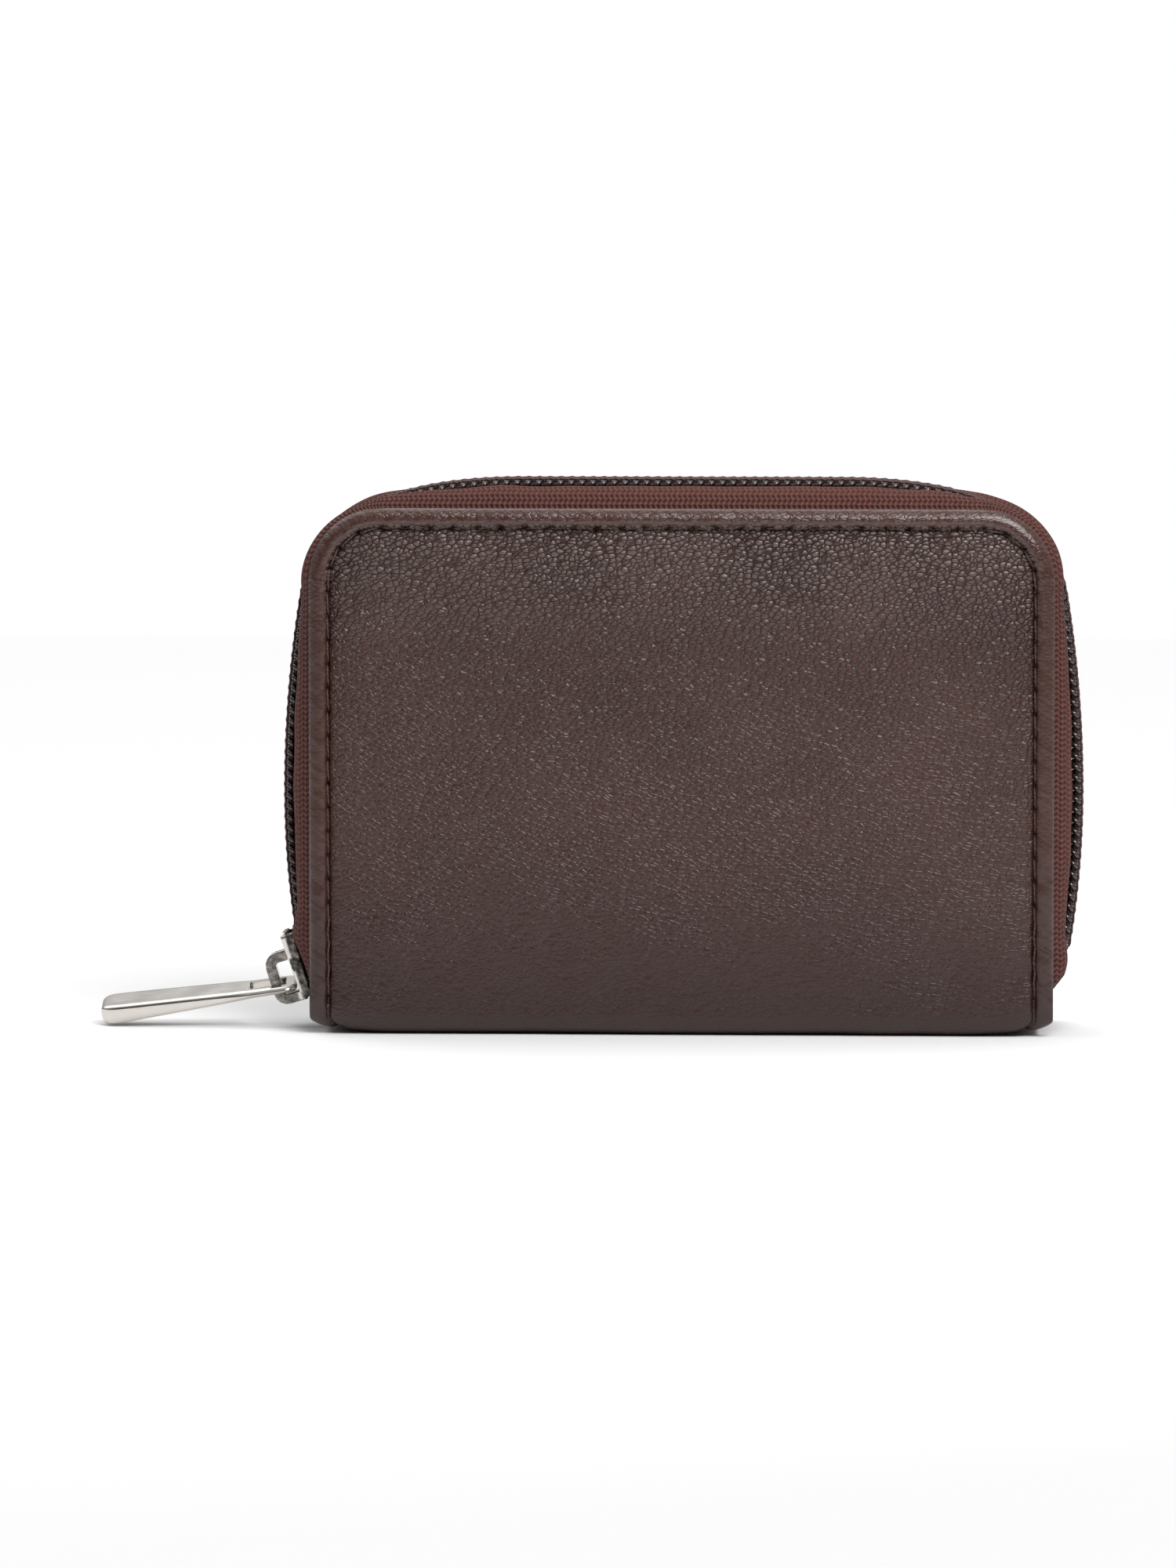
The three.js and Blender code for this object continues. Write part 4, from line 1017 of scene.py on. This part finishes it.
def subdivided(name, points, faces, material, levels):
    """Smooth surface from a coarse closed cage in millimetres."""
    piece = make_mesh(name, points, faces, material)
    piece.modifiers.new("smooth", "SUBSURF").levels = levels
    depsgraph = bpy.context.evaluated_depsgraph_get()
    mesh = bpy.data.meshes.new_from_object(piece.evaluated_get(depsgraph))
    piece.modifiers.clear()
    piece.data = mesh
    mesh.polygons.foreach_set("use_smooth", [True] * len(mesh.polygons))
    return piece


def build_pull():
    """Flat bar with a long eye, thin at the eye and thick at its far end."""
    x = [-1.1, -0.85, -0.3, 0.45, 0.8, 5.2, 5.6, 6.0, 9.0, 17.0, 24.0, 25.3, 26.2, 26.7]
    wide = [1.5, 2.3, 2.8, 2.95, 3.0, 3.05, 3.07, 3.1, 3.15, 3.35, 3.5, 3.35, 2.75, 1.8]
    thick = [0.6, 0.95, 1.06, 1.08, 1.08, 1.1, 1.15, 1.2, 1.45, 2.05, 2.6, 2.66, 2.45, 1.6]
    hole = 1.66
    points, rings = [], []
    for along, w, t in zip(x, wide, thick):
        soft = float(smoothstep(9.0, 5.0, along))
        round_edge, round_side = 0.34 + 0.2 * soft, 0.34 + 0.1 * soft
        inner = min(hole, 0.7 * w)
        lip = min(inner + 0.25 + 0.15 * soft, w - round_edge - 0.05)
        across = [-(w - round_edge), -lip, -inner, inner, lip, w - round_edge]
        top = [(along, y, t / 2) for y in across]
        bottom = [(along, y, -t / 2) for y in reversed(across)]
        high, low = max(t / 2 - round_side, 0.1), min(-t / 2 + round_side, -0.1)
        ring = top + [(along, w, high), (along, w, low)] + bottom + [(along, -w, low), (along, -w, high)]
        rings.append(range(len(points), len(points) + len(ring)))
        points += ring
    faces = []
    hole_first, hole_last = 3, 6
    for i in range(len(x) - 1):
        here, there = rings[i], rings[i + 1]
        open_cell = hole_first <= i < hole_last
        for k in range(16):
            if open_cell and k in (2, 10):
                continue
            m = (k + 1) % 16
            faces.append([here[k], here[m], there[m], there[k]])
        if open_cell:
            faces.append([here[2], there[2], there[11], here[11]])
            faces.append([here[3], here[10], there[10], there[3]])
    for i, flip in ((hole_first, False), (hole_last, True)):
        wall = [rings[i][2], rings[i][11], rings[i][10], rings[i][3]]
        faces.append(wall[::-1] if flip else wall)
    for ring, flip in ((rings[0], False), (rings[-1], True)):
        caps = [[ring[k], ring[k + 1], ring[12 - k], ring[13 - k]] for k in range(5)]
        caps += [[ring[5], ring[6], ring[7], ring[8]], [ring[13], ring[14], ring[15], ring[0]]]
        faces += [cap if flip else cap[::-1] for cap in caps]
    local = np.array(points)
    ahead = np.array([-math.cos(PULL_DROOP), 0, -math.sin(PULL_DROOP)])
    up = np.array([-math.sin(PULL_DROOP), 0, math.cos(PULL_DROOP)])
    level = np.array([0.0, -1.0, 0.0])
    across = level * math.cos(PULL_ROLL) - up * math.sin(PULL_ROLL)
    up = up * math.cos(PULL_ROLL) + level * math.sin(PULL_ROLL)
    pivot = np.array([PULL_PIVOT[0], 0, PULL_PIVOT[1]])
    placed = pivot + local[:, :1] * ahead + local[:, 1:2] * across + local[:, 2:] * up
    pull = subdivided("pull_bar", placed, faces, NICKEL_LOOK, 3)
    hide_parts("pull_tab")
    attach(pull, "pull")


# ------------------------------------------------------------------ stage, lights, camera
def build_stage():
    n = Nodes("studio_floor")
    place = n.add("ShaderNodeTexCoord").outputs["Object"]
    tone = n.mix_colour(n.noise(place, 3.0, 2.0), rgb(0.86, 0.86, 0.86), rgb(0.9, 0.9, 0.9))
    material = n.finish(Base_Color=tone, Roughness=0.75)
    size = 800.0
    corners = [(-size, -size, 0), (size, -size, 0), (size, size, 0), (-size, size, 0)]
    floor = make_mesh("studio_floor", corners, [[0, 1, 2, 3]], material, smooth=False)


def build_world():
    """White surroundings that light softly: bright overhead, dim about the camera, so that metal
    and gloss have something dark to show."""
    world = bpy.data.worlds.new("studio")
    bpy.context.scene.world = world
    world.use_nodes = True
    nodes, links = world.node_tree.nodes, world.node_tree.links
    nodes.clear()
    place = nodes.new("ShaderNodeTexCoord")
    split = nodes.new("ShaderNodeSeparateXYZ")
    links.new(place.outputs["Generated"], split.inputs[0])
    overhead = ramp_node(nodes, [(0.0, 0.22), (0.03, 0.25), (0.14, 0.5), (0.4, 0.85), (0.8, 1.0)])
    links.new(split.outputs[2], overhead.inputs[0])
    turned = nodes.new("ShaderNodeMapRange")
    links.new(split.outputs[1], turned.inputs["Value"])
    turned.inputs["From Min"].default_value = -1.0
    around = ramp_node(nodes, [(0.0, 0.14), (0.25, 0.4), (0.55, 1.0)])
    links.new(turned.outputs[0], around.inputs[0])
    both = nodes.new("ShaderNodeMix")
    both.data_type, both.blend_type = "RGBA", "MULTIPLY"
    both.inputs[0].default_value = 1.0
    links.new(overhead.outputs[0], both.inputs[6])
    links.new(around.outputs[0], both.inputs[7])
    light, seen = nodes.new("ShaderNodeBackground"), nodes.new("ShaderNodeBackground")
    seen.inputs["Color"].default_value = rgb(1, 1, 1)
    light.inputs["Strength"].default_value = WORLD_STRENGTH
    links.new(both.outputs[2], light.inputs["Color"])
    path = nodes.new("ShaderNodeLightPath")
    mix = nodes.new("ShaderNodeMixShader")
    out = nodes.new("ShaderNodeOutputWorld")
    links.new(path.outputs["Is Camera Ray"], mix.inputs[0])
    links.new(light.outputs[0], mix.inputs[1])
    links.new(seen.outputs[0], mix.inputs[2])
    links.new(mix.outputs[0], out.inputs[0])


def ramp_node(nodes, stops):
    ramp = nodes.new("ShaderNodeValToRGB")
    points = ramp.color_ramp.elements
    while len(points) < len(stops):
        points.new(0.5)
    for point, (position, value) in zip(points, stops):
        point.position = position
        point.color = rgb(value, value, value)
    return ramp


def softbox(name, place, target, size, power):
    """Rectangular softbox, out of the picture."""
    light = bpy.data.lights.new(name, "AREA")
    light.shape = "RECTANGLE"
    light.size, light.size_y = size
    light.energy = power
    obj = bpy.data.objects.new(name, light)
    obj.location = place
    obj.rotation_euler = (Vector(target) - Vector(place)).to_track_quat("-Z", "Y").to_euler()
    obj.visible_camera = False
    bpy.context.scene.collection.objects.link(obj)


def soft_sun(name, towards, width_degrees, strength):
    """Distant softbox: the same light everywhere, from a patch of sky this wide."""
    light = bpy.data.lights.new(name, "SUN")
    light.angle = math.radians(width_degrees)
    light.energy = strength
    obj = bpy.data.objects.new(name, light)
    obj.rotation_euler = (-Vector(towards)).to_track_quat("-Z", "Y").to_euler()
    bpy.context.scene.collection.objects.link(obj)


def build_camera():
    """A long lens a little right of the pouch and above it, aimed left of it."""
    camera = bpy.data.cameras.new("camera")
    camera.lens = 215
    camera.sensor_width = 36
    camera.clip_start, camera.clip_end = 0.05, 20
    obj = bpy.data.objects.new("camera", camera)
    obj.location = (0.045, -1.300, 0.143)
    target = Vector((-0.0128, -0.012, 0.035))
    obj.rotation_euler = (target - obj.location).to_track_quat("-Z", "Y").to_euler()
    bpy.context.scene.collection.objects.link(obj)
    bpy.context.scene.camera = obj


build_camera()
build_world()
build_stage()
soft_sun("key_softbox", (0.45, -0.75, 1.25), 34, 1.3)
soft_sun("rim_softbox", (-0.5, 0.6, 1.3), 60, 1.0)
softbox("near_softbox", (0.10, -0.17, 0.21), (0.01, -0.012, 0.06), (0.22, 0.12), 0.40)
bpy.context.scene.view_settings.view_transform = "Standard"

# ------------------------------------------------------------------ the object
whole_chain = chain_line(CHAIN_BOTTOM, CHAIN_BOTTOM, 0.5)[2][-1]

for half_side in (FRONT, BACK):
    build_cover_leather(half_side)
    build_edge_stitches(half_side)
    build_lining(half_side)
    build_pockets(half_side)
    build_tape(half_side)
    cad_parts[f"{HALF_NAME[half_side]}_board"].data.materials[0] = BOARD_LOOK
    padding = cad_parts[f"{HALF_NAME[half_side]}_padding"]
    padding.data.materials[0] = FOAM_LOOK
build_coil(FRONT, 14.6, 11.5, whole_chain)
build_coil(BACK, CHAIN_BOTTOM, 11.5, whole_chain)
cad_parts["spine_stiffener"].data.materials[0] = BOARD_LOOK
cast_metal("slider_body", "slider_cast", "slider", 0.11, 3)
build_pull()
